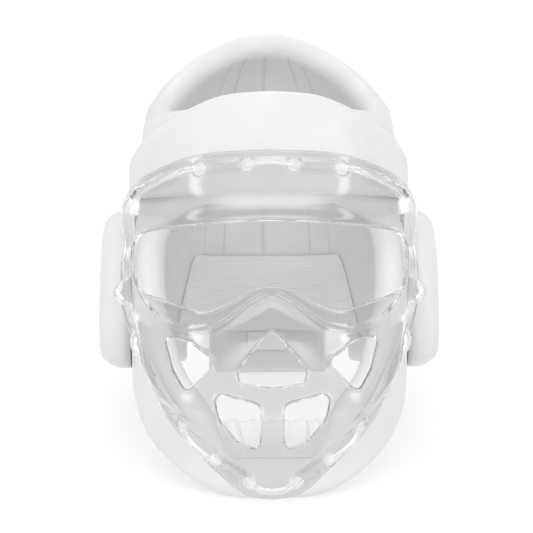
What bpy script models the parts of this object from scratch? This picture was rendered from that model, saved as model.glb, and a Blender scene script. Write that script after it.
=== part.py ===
"""Karate head guard with a clear face shield, standing on its chin bar and neck flap.

The guard is laid out level, in head coordinates: X to the wearer's left, -Y ahead of the face, Z up,
with zero at the middle of the head at eye height. A frame then leans it back until the chin bar and
the neck flap stand on the floor together.
"""

import math

import bmesh
import bpy
import numpy as np
from mathutils import Matrix

# Driving sizes, in metres
HALF_WIDTH = 0.091  # outside of the foam, ear to ear, halved
FRONT_REACH = 0.104  # centre of the head to the front of the chin bar
REAR_REACH = 0.107
CROWN_HEIGHT = 0.172  # eye height to the top of the dome, were it closed
CHIN_DEPTH = 0.143  # eye height to the bottom of the chin bar
BROW_HEIGHT = 0.056  # where the sides start to close into the dome
FOAM_WALL = 0.018
SEAT = 0.0007  # clearance between pieces that lie on each other
FLOOR_TRIM = 0.0012  # foam that the floor presses flat

BAND_THICK = 0.006
BAND_SEAT = 0.0012  # clearance below the band, over the curve of the brow
BAND_BOTTOM = 0.043
BAND_END_ANGLE = 104.0
BAND_ROUND = 0.0045
BAND_CORNER = 0.006  # how far the corners at its ends are drawn in
BAND_CORNER_START = 0.93  # share of the way to the end at which the corners begin

EAR_THICK = 0.020
EAR_HALF_DEPTH = 0.039
EAR_HALF_HEIGHT = 0.051
EAR_CENTRE_BACK = 0.009
EAR_CENTRE_HEIGHT = -0.0155
EAR_ROUND = 0.011
EAR_DISH = 0.006  # hollow in the outside of the ear guard
EAR_DISH_FLAT, EAR_DISH_EDGE = 0.20, 0.55  # shares of its half size where the hollow starts to rise and ends
EAR_CORNERS = 0.72  # 1 is an oval, less is squarer

CHIN_BAR_HEIGHT = 0.047
FACE_TOP = 0.041
FACE_BOTTOM = CHIN_BAR_HEIGHT - CHIN_DEPTH
NOTCH_TOP = 0.001
NOTCH_SIDE_ANGLE = 137.0
NOTCH_TOP_ANGLE = 149.0

SHIELD_THICK = 0.0025
SHIELD_SEAT = 0.0010  # clearance between the shield and the foam below it
SHIELD_STEP_CLEAR = 0.010  # the shield is up at the band's level this far before the band begins
SHIELD_SIDE_ANGLE = 75.0
SHIELD_BULGE = 0.014
MOUTH_RISE = 0.063  # height of the bulge's middle above the bottom of the chin
SHIELD_BULGE_HEIGHT = MOUTH_RISE - CHIN_DEPTH
SHIELD_BULGE_SPREAD = 0.042
SHIELD_FLARE = 0.0052
SHIELD_CLIMB = 0.022  # height over which the shield climbs onto the band
FLANGE = 0.008  # flat border of the shield, where it lies on the foam
FLANGE_BLEND = 0.018
FLARE_START = 0.73  # share of the side angle at which the side starts to stand off
FLARE_TOP_SHARE = 0.20  # share of the flare left at the upper corner
SHIELD_COLUMNS, SHIELD_ROWS = 24, 13

LACE_DIAMETER = 0.004
LACE_CLEAR = 0.0006
LACE_BED_CLEAR = 0.00032  # clearance of the bed that the lace presses in what it lies on
LACE_POINTS = 80
LACE_HOLE = 0.0085
LACE_SLOT_WIDTH = 0.0052
LACE_HOLE_SIDES = 8
CURVE_STEPS = 12  # points between two stops of the lace, before it is divided evenly

CHIN_PAD_THICK = 0.0035
CHIN_PAD_HALF_ANGLE = 17.0
CHIN_PAD_OVERLAP = 0.0035  # how far the pad stands above the chin bar's top edge
CHIN_PAD_HEIGHT = 0.0225
CHIN_PAD_TOP = FACE_BOTTOM + CHIN_PAD_OVERLAP
CHIN_PAD_BOTTOM = CHIN_PAD_TOP - CHIN_PAD_HEIGHT
CHIN_PAD_ROUND = 0.006
CHIN_PAD_NARROW = 0.35  # share of its width that the bottom edge loses

NAPE_EDGE = -0.46 * CHIN_DEPTH  # the foam's lower edge at the nape
FLAP_HANG = 0.01072  # how far the flap hangs below that edge
FLAP_HEIGHT = 0.0405
FLAP_BOTTOM = NAPE_EDGE - FLAP_HANG
FLAP_TOP = FLAP_BOTTOM + FLAP_HEIGHT

ELASTIC_THICK = 0.0024
ELASTIC_OVERLAP = 0.008  # over the foam above the notch
ELASTIC_FLAP_OVERLAP = 0.010
ELASTIC_TOP = NOTCH_TOP + ELASTIC_OVERLAP
ELASTIC_BOTTOM = FLAP_TOP - ELASTIC_FLAP_OVERLAP
ELASTIC_TOP_ANGLE = 137.0
ELASTIC_BOTTOM_ANGLE = 121.0

FLAP_THICK = 0.010
FLAP_HALF_ANGLE = 28.0
FLAP_ROUND = 0.0045

LABEL_THICK = 0.0008
LABEL_HALF_ANGLE = 6.2
LABEL_GAP = 0.001  # below the elastic
LABEL_TOP = ELASTIC_BOTTOM - LABEL_GAP
LABEL_HEIGHT = 0.0130

# Thickness left at the open edge of a piece, as a share of its whole thickness
BAND_WALL, EAR_WALL, CHIN_PAD_WALL, FLAP_WALL = 0.25, 0.35, 0.35, 0.30

# Sections of the guard: height as a share of CHIN_DEPTH, then shares of HALF_WIDTH, FRONT_REACH
# and REAR_REACH, up to BROW_HEIGHT, where the dome starts.
SECTIONS = (
    # height, width, front, rear
    (-1.10, 0.87, 0.920, 0.94),
    (-0.77, 0.955, 0.985, 0.96),
    (-0.49, 0.985, 1.000, 0.97),
    (-0.14, 0.990, 0.965, 0.99),
    (0.18, 0.960, 0.885, 1.00),
    (0.30, 0.932, 0.840, 1.00),
    (0.39, 0.925, 0.830, 1.00),
)
SQUARENESS = 2.5  # 2 is an ellipse seen from above, more is squarer
CROWN_SQUARENESS = 2.5
DOME_ROUND_SIDES = 2.4
DOME_ROUND_LENGTH = 3.0

# Edges of the foam, by the angle from the front: shares of CROWN_HEIGHT and of CHIN_DEPTH.
CROWN_RIM = (
    (0, 0.584), (30, 0.584), (60, 0.587), (90, 0.665), (105, 0.755), (120, 0.838),
    (150, 0.926), (165, 0.943), (180, 0.947),
)
BOTTOM_RIM = (
    (0, -1.000), (20, -0.980), (33, -0.930), (45, -0.865), (57, -0.795),
    (70, -0.700), (82, -0.600), (95, -0.530), (120, -0.480), (150, -0.460), (180, -0.460),
)
# Side of the face opening: share of the way from FACE_BOTTOM to FACE_TOP, and the angle there.
FACE_SIDE = (
    (0.0, 17.0), (0.12, 27.0), (0.22, 38.0), (0.36, 46.0), (0.52, 53.0),
    (0.70, 59.0), (0.85, 56.0), (0.94, 46.0), (0.985, 33.0), (1.0, 24.0),
)
# Top edge of the forehead band: angle, share of CROWN_HEIGHT.
BAND_TOP = ((0, 0.622), (16, 0.608), (37, 0.546), (58, 0.480), (72, 0.429), (90, 0.391), (104, 0.363))

# Border of the shield: share of SHIELD_SIDE_ANGLE, share of CHIN_DEPTH.
SHIELD_BOTTOM = (
    (0.0, -0.985), (0.10, -0.965), (0.24, -0.865), (0.42, -0.735), (0.56, -0.625),
    (0.67, -0.475), (0.77, -0.375), (0.87, -0.285), (1.0, -0.120),
)
SHIELD_TOP = ((0.0, 0.497), (0.32, 0.478), (0.52, 0.440), (0.80, 0.370), (0.93, 0.315), (1.0, 0.270))

# Openings of the shield, right half, as seen from the front: shares of HALF_WIDTH and of CHIN_DEPTH.
EYE_OPENING = (
    (0.00, 0.187), (0.235, 0.183), (0.476, 0.173), (0.709, 0.158), (0.838, 0.142), (0.904, 0.099),
    (0.917, 0.037), (0.901, -0.042), (0.843, -0.104), (0.672, -0.147), (0.440, -0.189), (0.287, -0.157),
    (0.142, -0.106), (0.00, -0.087),
)
CENTRE_VENT = ((0.0, -0.268), (0.224, -0.436), (0.206, -0.483), (0.0, -0.503), (-0.206, -0.483), (-0.224, -0.436))
UPPER_VENT = ((0.695, -0.293), (0.525, -0.320), (0.366, -0.403), (0.553, -0.527), (0.644, -0.429))
LOWER_VENT = ((0.378, -0.527), (0.080, -0.577), (0.082, -0.769), (0.225, -0.726), (0.342, -0.633))
VENT_ROUND = 0.0045
CENTRE_VENT_ROUND = 0.0030

# Route of the lace up the right half: angle as a share of SHIELD_SIDE_ANGLE, height as a share of
# CHIN_DEPTH, and 1 over the shield or -1 under it.
LACE_ROUTE = (
    (0.000, -0.940, 1), (0.040, -0.930, 1), (0.120, -0.892, -1), (0.190, -0.850, -1),
    (0.290, -0.785, 1), (0.375, -0.722, 1), (0.480, -0.640, -1), (0.600, -0.535, -1),
    (0.685, -0.440, -1), (0.765, -0.345, 1), (0.840, -0.260, -1), (0.895, -0.190, -1),
    (0.938, -0.116, 1), (0.943, -0.025, -1), (0.940, 0.100, -1), (0.900, 0.230, -1),
    (0.800, 0.315, -1), (0.640, 0.354, -1), (0.500, 0.389, -1), (0.372, 0.413, 1),
    (0.245, 0.425, -1), (0.150, 0.430, -1), (0.045, 0.444, 1), (0.000, 0.448, 1),
)
# Round holes and slots for the lace, in the same shares: each slot runs from its first to its last place.
LACE_HOLES = ((0.078, 0.432), (0.308, 0.416), (0.078, -0.908), (0.240, -0.815), (0.425, -0.680))
LACE_SLOTS = (
    ((0.435, 0.405), (0.800, 0.315)),
    ((0.943, 0.015), (0.943, -0.092)),
    ((0.935, -0.140), (0.800, -0.310)),
    ((0.745, -0.372), (0.665, -0.462)),
)

# Cells of the shell's grid round it and up it, and how its columns at the front spread, in degrees
FRONT_COLUMNS, SIDE_COLUMNS, REAR_COLUMNS = 10, 12, 5
BOTTOM_ROWS, FACE_ROWS, TOP_ROWS = 5, 8, 7
NOTCH_ROW = BOTTOM_ROWS + 2
CHIN_SPREAD, BROW_SPREAD = 4.0, 8.0
SIDE_LENGTH = 1.2 * (HALF_WIDTH + REAR_REACH)  # round one side, from the face to the notch

THROUGH_NEAR, THROUGH_FAR = 1.6 * FRONT_REACH, 0.25 * FRONT_REACH  # reach of the cutters from the front
CUTTER_REACH = 2.2 * SHIELD_THICK  # half the depth of a cutter through the shield alone


def smooth(x, table):
    """Value at x of a smooth curve through the rows of a table."""
    xs, ys = np.array(table, float).T
    slopes = np.gradient(ys, xs)
    i = np.clip(np.searchsorted(xs, x) - 1, 0, len(xs) - 2)
    width = xs[i + 1] - xs[i]
    t = np.clip((x - xs[i]) / width, 0, 1)
    start = (1 + 2 * t) * (1 - t) ** 2 * ys[i] + t * (1 - t) ** 2 * width * slopes[i]
    return start + t * t * (3 - 2 * t) * ys[i + 1] + t * t * (t - 1) * width * slopes[i + 1]


def ease(x):
    """0 below 0, 1 above 1 and a smooth rise between."""
    x = np.clip(x, 0, 1)
    return x * x * (3 - 2 * x)


def outside(angle, height):
    """Point on the outside of the foam, at an angle in degrees from the front, at a height."""
    level = np.minimum(height, BROW_HEIGHT) / CHIN_DEPTH
    rows = np.array(SECTIONS)
    width = smooth(level, rows[:, (0, 1)]) * HALF_WIDTH
    front = smooth(level, rows[:, (0, 2)]) * FRONT_REACH
    rear = smooth(level, rows[:, (0, 3)]) * REAR_REACH
    rise = np.clip((height - BROW_HEIGHT) / (CROWN_HEIGHT - BROW_HEIGHT), 0, 0.999)
    width = width * np.sqrt(1 - rise**DOME_ROUND_SIDES)
    shrink = np.sqrt(1 - rise**DOME_ROUND_LENGTH)
    power = 2 / (SQUARENESS + (CROWN_SQUARENESS - SQUARENESS) * ease(rise))
    a = np.radians(angle)
    s, c = np.sin(a), np.cos(a)
    x = width * np.sign(s) * np.abs(s) ** power
    y = -np.where(c > 0, front, rear) * shrink * np.sign(c) * np.abs(c) ** power
    return np.stack([x, y, height + 0 * x], -1)


def outward(angle, height):
    """Unit normal of the outside of the foam there."""
    step_angle, step_height = 0.5, 0.0005
    around = outside(angle + step_angle, height) - outside(angle - step_angle, height)
    up = outside(angle, height + step_height) - outside(angle, height - step_height)
    normal = np.cross(around, up)
    return normal / np.linalg.norm(normal, axis=-1, keepdims=True)


def off_foam(angle, height, distance):
    """Point at a distance outside the foam's surface."""
    return outside(angle, height) + outward(angle, height) * np.asarray(distance)[..., None]


def bottom_rim(angle):
    return smooth(np.abs(angle), BOTTOM_RIM) * CHIN_DEPTH


def crown_rim(angle):
    return smooth(np.abs(angle), CROWN_RIM) * CROWN_HEIGHT


def spread(count, length, edge):
    """Shares 0 to 1 of a stretch in count steps, with short steps where its two edges are rounded."""
    middle = np.linspace(edge, length - edge, count - 3)
    return np.concatenate(([0, 0.3 * edge], middle, [length - 0.3 * edge, length])) / length


def grid_quads(columns, rows, around=False, skip=()):
    """Quads of a grid of points numbered column by column, without the cells in skip."""
    quads = []
    for i in range(columns):
        j_next = (i + 1) % columns if around else i + 1
        for j in range(rows):
            if (i, j) not in skip:
                a, b = i * (rows + 1) + j, j_next * (rows + 1) + j
                quads.append((a, b, b + 1, a + 1))
    return quads


def edge_distance(points, quads):
    """Distance of each point from the nearest open edge of the sheet, and the open edges."""
    seen = {}
    for quad in quads:
        for a, b in zip(quad, quad[1:] + quad[:1]):
            seen.setdefault((min(a, b), max(a, b)), []).append((a, b))
    edges = [pairs[0] for pairs in seen.values() if len(pairs) == 1]
    a, b = points[[e[0] for e in edges]], points[[e[1] for e in edges]]
    along = b - a
    share = ((points[:, None] - a) * along).sum(-1) / (along**2).sum(-1)
    nearest = a + np.clip(share, 0, 1)[..., None] * along
    return np.linalg.norm(points[:, None] - nearest, axis=-1).min(1), edges


def thick_body(name, points, normals, quads, top, bottom, material, parent):
    """Closed body between two skins that lie off a sheet by top and bottom, along its normals."""
    _, edges = edge_distance(points, quads)
    used = sorted({v for quad in quads for v in quad})
    place = {v: k for k, v in enumerate(used)}
    count = len(used)
    upper = points[used] + normals[used] * top[used][:, None]
    lower = points[used] + normals[used] * bottom[used][:, None]
    faces = [[place[v] for v in quad] for quad in quads]
    faces += [[place[v] + count for v in reversed(quad)] for quad in quads]
    faces += [[place[b], place[a], place[a] + count, place[b] + count] for a, b in edges]
    mesh = bpy.data.meshes.new(name)
    mesh.from_pydata(np.concatenate([upper, lower]).tolist(), [], faces)
    shape = bmesh.new()
    shape.from_mesh(mesh)
    bmesh.ops.remove_doubles(shape, verts=shape.verts, dist=1e-6)
    bmesh.ops.dissolve_degenerate(shape, edges=shape.edges, dist=1e-6)
    bmesh.ops.recalc_face_normals(shape, faces=shape.faces)
    shape.to_mesh(mesh)
    shape.free()
    return add_object(name, mesh, material, parent)


def add_object(name, data, material, parent):
    body = bpy.data.objects.new(name, data)
    bpy.context.scene.collection.objects.link(body)
    if material:
        data.materials.append(material)
    if hasattr(data, "shade_smooth"):
        data.shade_smooth()
        data.set_sharp_from_angle(angle=math.radians(40))
    body.parent = parent
    return body


def make_material(name, colour, roughness, alpha=1.0):
    material = bpy.data.materials.new(name)
    material.use_nodes = True
    shader = material.node_tree.nodes["Principled BSDF"]
    shader.inputs["Base Color"].default_value = (*colour, 1)
    shader.inputs["Roughness"].default_value = roughness
    shader.inputs["Metallic"].default_value = 0
    shader.inputs["Alpha"].default_value = alpha
    return material


def rounded(distance, radius):
    """Share of the full height that a quarter-round edge has at a distance from its foot."""
    return np.sqrt(1 - (1 - np.clip(distance / radius, 0, 1)) ** 2)


def cut(body, cutter):
    """Boolean difference, with the cutter kept out of the render."""
    cutter.hide_render = True
    cutter.display_type = "WIRE"
    modifier = body.modifiers.new("cut " + cutter.name, "BOOLEAN")
    modifier.operation = "DIFFERENCE"
    modifier.solver = "EXACT"
    modifier.object = cutter


def shell_grid():
    """Angles and heights of the foam shell's grid, which follows the face opening and the rear notch."""
    front_span = FACE_TOP - FACE_BOTTOM
    share = np.linspace(0, 1, FACE_ROWS + 1)
    side_share = 0.65 * share + 0.35 * share * (2 - share)  # closer together towards the brow
    side_angle = smooth(side_share, FACE_SIDE)
    side_height = FACE_BOTTOM + side_share * front_span
    low, high = bottom_rim(side_angle), crown_rim(side_angle)
    side_level = (side_height - low) / (high - low)
    edge = FOAM_WALL / 2
    chin = spread(BOTTOM_ROWS, FACE_BOTTOM + CHIN_DEPTH, edge)
    brow = spread(TOP_ROWS, crown_rim(0) - FACE_TOP, edge)
    front_level = np.concatenate([
        chin[:-1] * side_level[0], side_level, side_level[-1] + brow[1:] * (1 - side_level[-1]),
    ])
    front_angle = np.concatenate([
        side_angle[0] + (1 - chin[:-1]) * CHIN_SPREAD, side_angle,
        side_angle[-1] + brow[1:] * BROW_SPREAD,
    ])
    rows = BOTTOM_ROWS + FACE_ROWS + TOP_ROWS
    low, high = bottom_rim(NOTCH_TOP_ANGLE), crown_rim(NOTCH_TOP_ANGLE)
    notch_level = (NOTCH_TOP - low) / (high - low)
    below = spread(NOTCH_ROW, NOTCH_TOP - low, edge)
    above = spread(rows - NOTCH_ROW, high - NOTCH_TOP, edge)
    rear_level = np.concatenate([below[:-1] * notch_level, notch_level + above * (1 - notch_level)])
    rear_angle = np.concatenate([
        NOTCH_SIDE_ANGLE + below[:-1] ** 2 * (NOTCH_TOP_ANGLE - NOTCH_SIDE_ANGLE),
        np.full(len(above), NOTCH_TOP_ANGLE),
    ])
    across = np.linspace(-1, 1, FRONT_COLUMNS + 1)[:, None]
    way = spread(SIDE_COLUMNS, SIDE_LENGTH, edge)[1:, None]
    back = np.linspace(0, 1, 2 * REAR_COLUMNS + 1)[1:, None]
    right_angle = front_angle + way * (rear_angle - front_angle)
    right_level = front_level + ease(way) * (rear_level - front_level)
    angle = np.concatenate([
        across * front_angle, right_angle, rear_angle + back * (360 - 2 * rear_angle),
        360 - right_angle[-2::-1],
    ])
    level = np.concatenate([
        front_level + 0 * across, right_level, rear_level + 0 * back, right_level[-2::-1],
    ])
    bend = np.where(angle > 180, 360 - angle, np.abs(angle))
    height = bottom_rim(bend) + level * (crown_rim(bend) - bottom_rim(bend))
    return angle, height


def headguard_shell(material, parent):
    """The dipped foam body: crown, sides, cheeks, chin bar and rear in one padded wall."""
    angle, height = shell_grid()
    columns, rows = angle.shape[0], angle.shape[1] - 1
    face = {(i, j) for i in range(FRONT_COLUMNS) for j in range(BOTTOM_ROWS, BOTTOM_ROWS + FACE_ROWS)}
    first = FRONT_COLUMNS + SIDE_COLUMNS
    notch = {(i, j) for i in range(first, first + 2 * REAR_COLUMNS) for j in range(NOTCH_ROW)}
    quads = grid_quads(columns, rows, around=True, skip=face | notch)
    angle, height = angle.ravel(), height.ravel()
    points, normals = outside(angle, height), outward(angle, height)
    distance, _ = edge_distance(points, quads)
    half = FOAM_WALL / 2
    swell = half * rounded(distance, half)
    return thick_body(
        "headguard_shell", points, normals, quads, swell - half, -swell - half, material, parent
    )


def patch(angles, heights):
    """Points and normals of a patch of the foam's surface, and its quads. The first index is across."""
    columns, rows = angles.shape[0] - 1, angles.shape[1] - 1
    angle, height = angles.ravel(), heights.ravel()
    return outside(angle, height), outward(angle, height), grid_quads(columns, rows)


def band_top(angle):
    return smooth(np.abs(angle), BAND_TOP) * CROWN_HEIGHT


def forehead_band(material, parent):
    """Padded band that lies on the front of the shell and carries the top of the shield."""
    width = 2 * HALF_WIDTH * math.radians(BAND_END_ANGLE)
    across = (spread(22, width, BAND_ROUND) * 2 - 1)[:, None] * BAND_END_ANGLE
    tall = band_top(0) - BAND_BOTTOM
    up = spread(6, tall, BAND_ROUND)[None]
    past = np.abs(across) / BAND_END_ANGLE - BAND_CORNER_START
    corner = BAND_CORNER * ease(past / (1 - BAND_CORNER_START))
    bottom = BAND_BOTTOM + corner
    heights = bottom + up * (band_top(across) - corner - bottom)
    points, normals, quads = patch(across + 0 * up, heights)
    distance, _ = edge_distance(points, quads)
    top = BAND_SEAT + BAND_THICK * (BAND_WALL + (1 - BAND_WALL) * rounded(distance, BAND_ROUND))
    bottom = np.full(len(points), BAND_SEAT)
    return thick_body("forehead_band", points, normals, quads, top, bottom, material, parent)


def ear_angle(back):
    """Angle from the front at which the foam is this far back."""
    angles = np.linspace(40, 140, 401)
    return np.interp(back, outside(angles, EAR_CENTRE_HEIGHT + 0 * angles)[:, 1], angles)


def ear_guard(name, side, material, parent):
    """Domed oval pad over one ear, with a dished outside."""
    steps, rings = 24, np.array([0.28, 0.50, 0.72, 0.86, 0.955, 1.0])
    turn = np.linspace(0, 2 * np.pi, steps, endpoint=False)
    s, c = np.sin(turn), np.cos(turn)
    back = EAR_HALF_DEPTH * np.sign(c) * np.abs(c) ** EAR_CORNERS
    up = EAR_HALF_HEIGHT * np.sign(s) * np.abs(s) ** EAR_CORNERS
    y = np.concatenate([[0], np.outer(rings, back).ravel()]) + EAR_CENTRE_BACK
    z = np.concatenate([[0], np.outer(rings, up).ravel()]) + EAR_CENTRE_HEIGHT
    angle = ear_angle(y)
    points, normals = outside(side * angle, z), outward(side * angle, z)
    quads = [(0, 1 + k, 1 + (k + 1) % steps) for k in range(steps)]
    for ring in range(len(rings) - 1):
        a = 1 + ring * steps
        quads += [(a + k, a + k + steps, a + (k + 1) % steps + steps, a + (k + 1) % steps)
                  for k in range(steps)]
    distance, _ = edge_distance(points, quads)
    middle = np.hypot((y - EAR_CENTRE_BACK) / EAR_HALF_DEPTH, (z - EAR_CENTRE_HEIGHT) / EAR_HALF_HEIGHT)
    dish = EAR_DISH * (1 - ease((middle - EAR_DISH_FLAT) / (EAR_DISH_EDGE - EAR_DISH_FLAT)))
    top = SEAT + EAR_THICK * (EAR_WALL + (1 - EAR_WALL) * rounded(distance, EAR_ROUND)) - dish
    bottom = np.full(len(points), SEAT)
    return thick_body(name, points, normals, quads, top, bottom, material, parent)


def shield_border(angle):
    share = np.abs(angle) / SHIELD_SIDE_ANGLE
    return smooth(share, SHIELD_BOTTOM) * CHIN_DEPTH, smooth(share, SHIELD_TOP) * CHIN_DEPTH


def shield_inside(angle, height):
    """Distance of the shield's inner face from the foam: it climbs over the band and bulges at the mouth."""
    low, high = shield_border(angle)
    side = (SHIELD_SIDE_ANGLE - np.abs(angle)) * math.radians(1) * HALF_WIDTH
    border = np.minimum(np.minimum(height - low, high - height), side)
    bulge = np.exp(-(((height - SHIELD_BULGE_HEIGHT) / SHIELD_BULGE_SPREAD) ** 2))
    lift = SHIELD_BULGE * bulge * ease((border - FLANGE) / FLANGE_BLEND)
    climb_end = BAND_BOTTOM - SHIELD_STEP_CLEAR
    climb = (BAND_THICK + BAND_SEAT) * ease((height - climb_end) / SHIELD_CLIMB + 1)
    flare = SHIELD_FLARE * ease((np.abs(angle) / SHIELD_SIDE_ANGLE - FLARE_START) / (1 - FLARE_START))
    flare = flare * (1 - (1 - FLARE_TOP_SHARE) * ease(height / climb_end))
    return SHIELD_SEAT + climb + lift + flare


def face_shield(material, parent):
    """Clear moulded shield with its eye opening, five vents and the lace's holes and slots."""
    angles = np.linspace(-SHIELD_SIDE_ANGLE, SHIELD_SIDE_ANGLE, SHIELD_COLUMNS + 1)[:, None]
    low, high = shield_border(angles)
    heights = low + np.linspace(0, 1, SHIELD_ROWS + 1)[None] * (high - low)
    angles = angles + 0 * heights
    inside = shield_inside(angles, heights).ravel()
    points, normals, quads = patch(angles, heights)
    body = thick_body(
        "face_shield", points, normals, quads, inside + SHIELD_THICK, inside, material, parent
    )
    cut(body, prism("eye_opening_cutter", closed_curve(EYE_OPENING), parent))
    vents = {"centre": (CENTRE_VENT, CENTRE_VENT_ROUND)}
    for side, sign in (("left", -1), ("right", 1)):
        vents["upper_" + side] = ([(sign * x, z) for x, z in UPPER_VENT], VENT_ROUND)
        vents["lower_" + side] = ([(sign * x, z) for x, z in LOWER_VENT], VENT_ROUND)
    for name, (corners, radius) in vents.items():
        cut(body, prism(name + "_vent_cutter", rounded_corners(corners, radius), parent))
    return body


def through(ring, steps):
    """Points of a smooth closed curve through the places of a ring, with steps of them from each place on."""
    out = []
    for k in range(len(ring)):
        a, b, c, d = (ring[(k + n) % len(ring)] for n in (-1, 0, 1, 2))
        for t in np.arange(steps) / steps:
            out.append(0.5 * (2 * b + (c - a) * t + (2 * a - 5 * b + 4 * c - d) * t**2
                              + (3 * b - a - 3 * c + d) * t**3))
    return np.array(out)


def closed_curve(half):
    """Smooth closed outline through the points of a right half and their mirror images."""
    half = np.array(half) * (HALF_WIDTH, CHIN_DEPTH)
    return through(np.concatenate([half, half[-2:0:-1] * (-1, 1)]), 2)


def rounded_corners(corners, radius, steps=2):
    """Outline of a polygon whose corners are arcs of this radius."""
    corners = np.array(corners) * (HALF_WIDTH, CHIN_DEPTH)
    out = []
    for k, corner in enumerate(corners):
        before = corners[k - 1] - corner
        after = corners[(k + 1) % len(corners)] - corner
        before, after = before / np.linalg.norm(before), after / np.linalg.norm(after)
        half = math.acos(np.clip(before @ after, -1, 1)) / 2
        reach = radius / math.tan(half)
        a, b = corner + before * reach, corner + after * reach
        for t in np.linspace(0, 1, steps + 1):
            out.append((1 - t) ** 2 * a + 2 * t * (1 - t) * corner + t * t * b)
    return np.array(out)


def prism(name, outline, parent):
    """Cutter that takes an outline, seen from the front, through the front half of the guard."""
    count = len(outline)
    points = [(x, y, z) for y in (-THROUGH_NEAR, -THROUGH_FAR) for x, z in outline]
    return closed_cutter(name, points, drum_faces(count), parent)


def drum_faces(count):
    """Faces of a drum between two rings of points."""
    faces = [list(range(count)), list(reversed(range(count, 2 * count)))]
    return faces + [[k, (k + 1) % count, (k + 1) % count + count, k + count] for k in range(count)]


def closed_cutter(name, points, faces, parent):
    mesh = bpy.data.meshes.new(name)
    mesh.from_pydata([tuple(map(float, p)) for p in points], [], faces)
    shape = bmesh.new()
    shape.from_mesh(mesh)
    bmesh.ops.recalc_face_normals(shape, faces=shape.faces)
    shape.to_mesh(mesh)
    shape.free()
    return add_object(name, mesh, None, parent)


def shield_place(share, level, distance):
    """Point off the inner face of the shield, at a share of its side angle and a level of the chin depth."""
    angle = np.asarray(share, float) * SHIELD_SIDE_ANGLE
    height = np.asarray(level, float) * CHIN_DEPTH
    return off_foam(angle, height, shield_inside(angle, height) + distance)


def slot_cutter(name, start, end, width, parent):
    """Slot with round ends through the shield alone, from one place to another along its face."""
    steps = max(2, int(np.ceil((abs(end[1] - start[1]) + abs(end[0] - start[0])) * 9)))
    t = np.linspace(0, 1, steps)
    shares = start[0] + t * (end[0] - start[0])
    levels = start[1] + t * (end[1] - start[1])
    middle = shield_place(shares, levels, SHIELD_THICK / 2)
    outer = shield_place(shares, levels, SHIELD_THICK)
    ahead = np.gradient(middle, axis=0)
    ahead /= np.linalg.norm(ahead, axis=1, keepdims=True)
    out = outer - middle
    out /= np.linalg.norm(out, axis=1, keepdims=True)
    across = np.cross(ahead, out)
    half, arc = width / 2, np.radians([45, 0, -45])
    near = [middle[-1] + half * (np.sin(a) * across[-1] + np.cos(a) * ahead[-1]) for a in arc]
    far = [middle[0] - half * (np.sin(a) * across[0] + np.cos(a) * ahead[0]) for a in arc]
    right, left = middle + across * half, middle - across * half
    ring = np.array([*right, *near, *left[::-1], *far])
    outs = np.array([*out, *[out[-1]] * len(arc), *out[::-1], *[out[0]] * len(arc)])
    count = len(ring)
    points = np.concatenate([ring + outs * CUTTER_REACH, ring - outs * CUTTER_REACH])
    return closed_cutter(name, points, drum_faces(count), parent)


def hole_cutter(name, place, parent):
    """Round hole through the shield alone."""
    middle = shield_place(place[0], place[1], SHIELD_THICK / 2)
    out = outward(place[0] * SHIELD_SIDE_ANGLE, place[1] * CHIN_DEPTH)
    across = np.cross(out, (0, 0, 1))
    across /= np.linalg.norm(across)
    up = np.cross(across, out)
    turn = np.linspace(0, 2 * np.pi, LACE_HOLE_SIDES, endpoint=False)[:, None]
    ring = middle + LACE_HOLE / 2 * (np.cos(turn) * across + np.sin(turn) * up)
    count = len(ring)
    points = np.concatenate([ring + out * CUTTER_REACH, ring - out * CUTTER_REACH])
    return closed_cutter(name, points, drum_faces(count), parent)


def lace_path():
    """Closed route of the lace, over and under the border of the shield."""
    right = np.array(LACE_ROUTE, float)
    ring = np.concatenate([right, right[-2:0:-1] * (-1, 1, 1)])
    clear = LACE_DIAMETER / 2 + LACE_CLEAR
    level = np.where(ring[:, 2] > 0, SHIELD_THICK + clear, -clear)
    fine = through(shield_place(ring[:, 0], ring[:, 1], level), CURVE_STEPS)
    looped = np.concatenate([fine, fine[:1]])
    along = np.concatenate([[0], np.cumsum(np.linalg.norm(np.diff(looped, axis=0), axis=1))])
    stations = np.linspace(0, along[-1], LACE_POINTS, endpoint=False)
    return np.stack([np.interp(stations, along, looped[:, n]) for n in range(3)], 1)


def lace_tube(name, radius, material, parent):
    """Tube of this radius along the lace's route."""
    curve = bpy.data.curves.new(name, "CURVE")
    curve.dimensions = "3D"
    curve.bevel_depth = radius
    curve.bevel_resolution = 2
    spline = curve.splines.new("POLY")
    path = lace_path()
    spline.points.add(len(path) - 1)
    spline.points.foreach_set("co", np.column_stack([path, np.ones(len(path))]).ravel())
    spline.use_cyclic_u = True
    return add_object(name, curve, material, parent)


def as_mesh(tube, parent):
    """The same tube as a mesh, which a Boolean can take."""
    mesh = bpy.data.meshes.new_from_object(tube)
    bpy.data.objects.remove(tube)
    return add_object("lace_bed_cutter", mesh, None, parent)


def chin_pad(material, parent):
    """Soft pad on the front of the chin bar, behind the lower vents."""
    across = np.linspace(-1, 1, 13)[:, None] * CHIN_PAD_HALF_ANGLE
    up = np.linspace(0, 1, 6)[None]
    narrow = 1 - CHIN_PAD_NARROW * (1 - up) ** 2
    heights = CHIN_PAD_BOTTOM + up * (CHIN_PAD_TOP - CHIN_PAD_BOTTOM) + 0 * across
    points, normals, quads = patch(across * narrow, heights)
    distance, _ = edge_distance(points, quads)
    swell = CHIN_PAD_WALL + (1 - CHIN_PAD_WALL) * rounded(distance, CHIN_PAD_ROUND)
    top = SEAT + CHIN_PAD_THICK * swell
    bottom = np.full(len(points), SEAT)
    return thick_body("chin_pad", points, normals, quads, top, bottom, material, parent)


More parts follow.
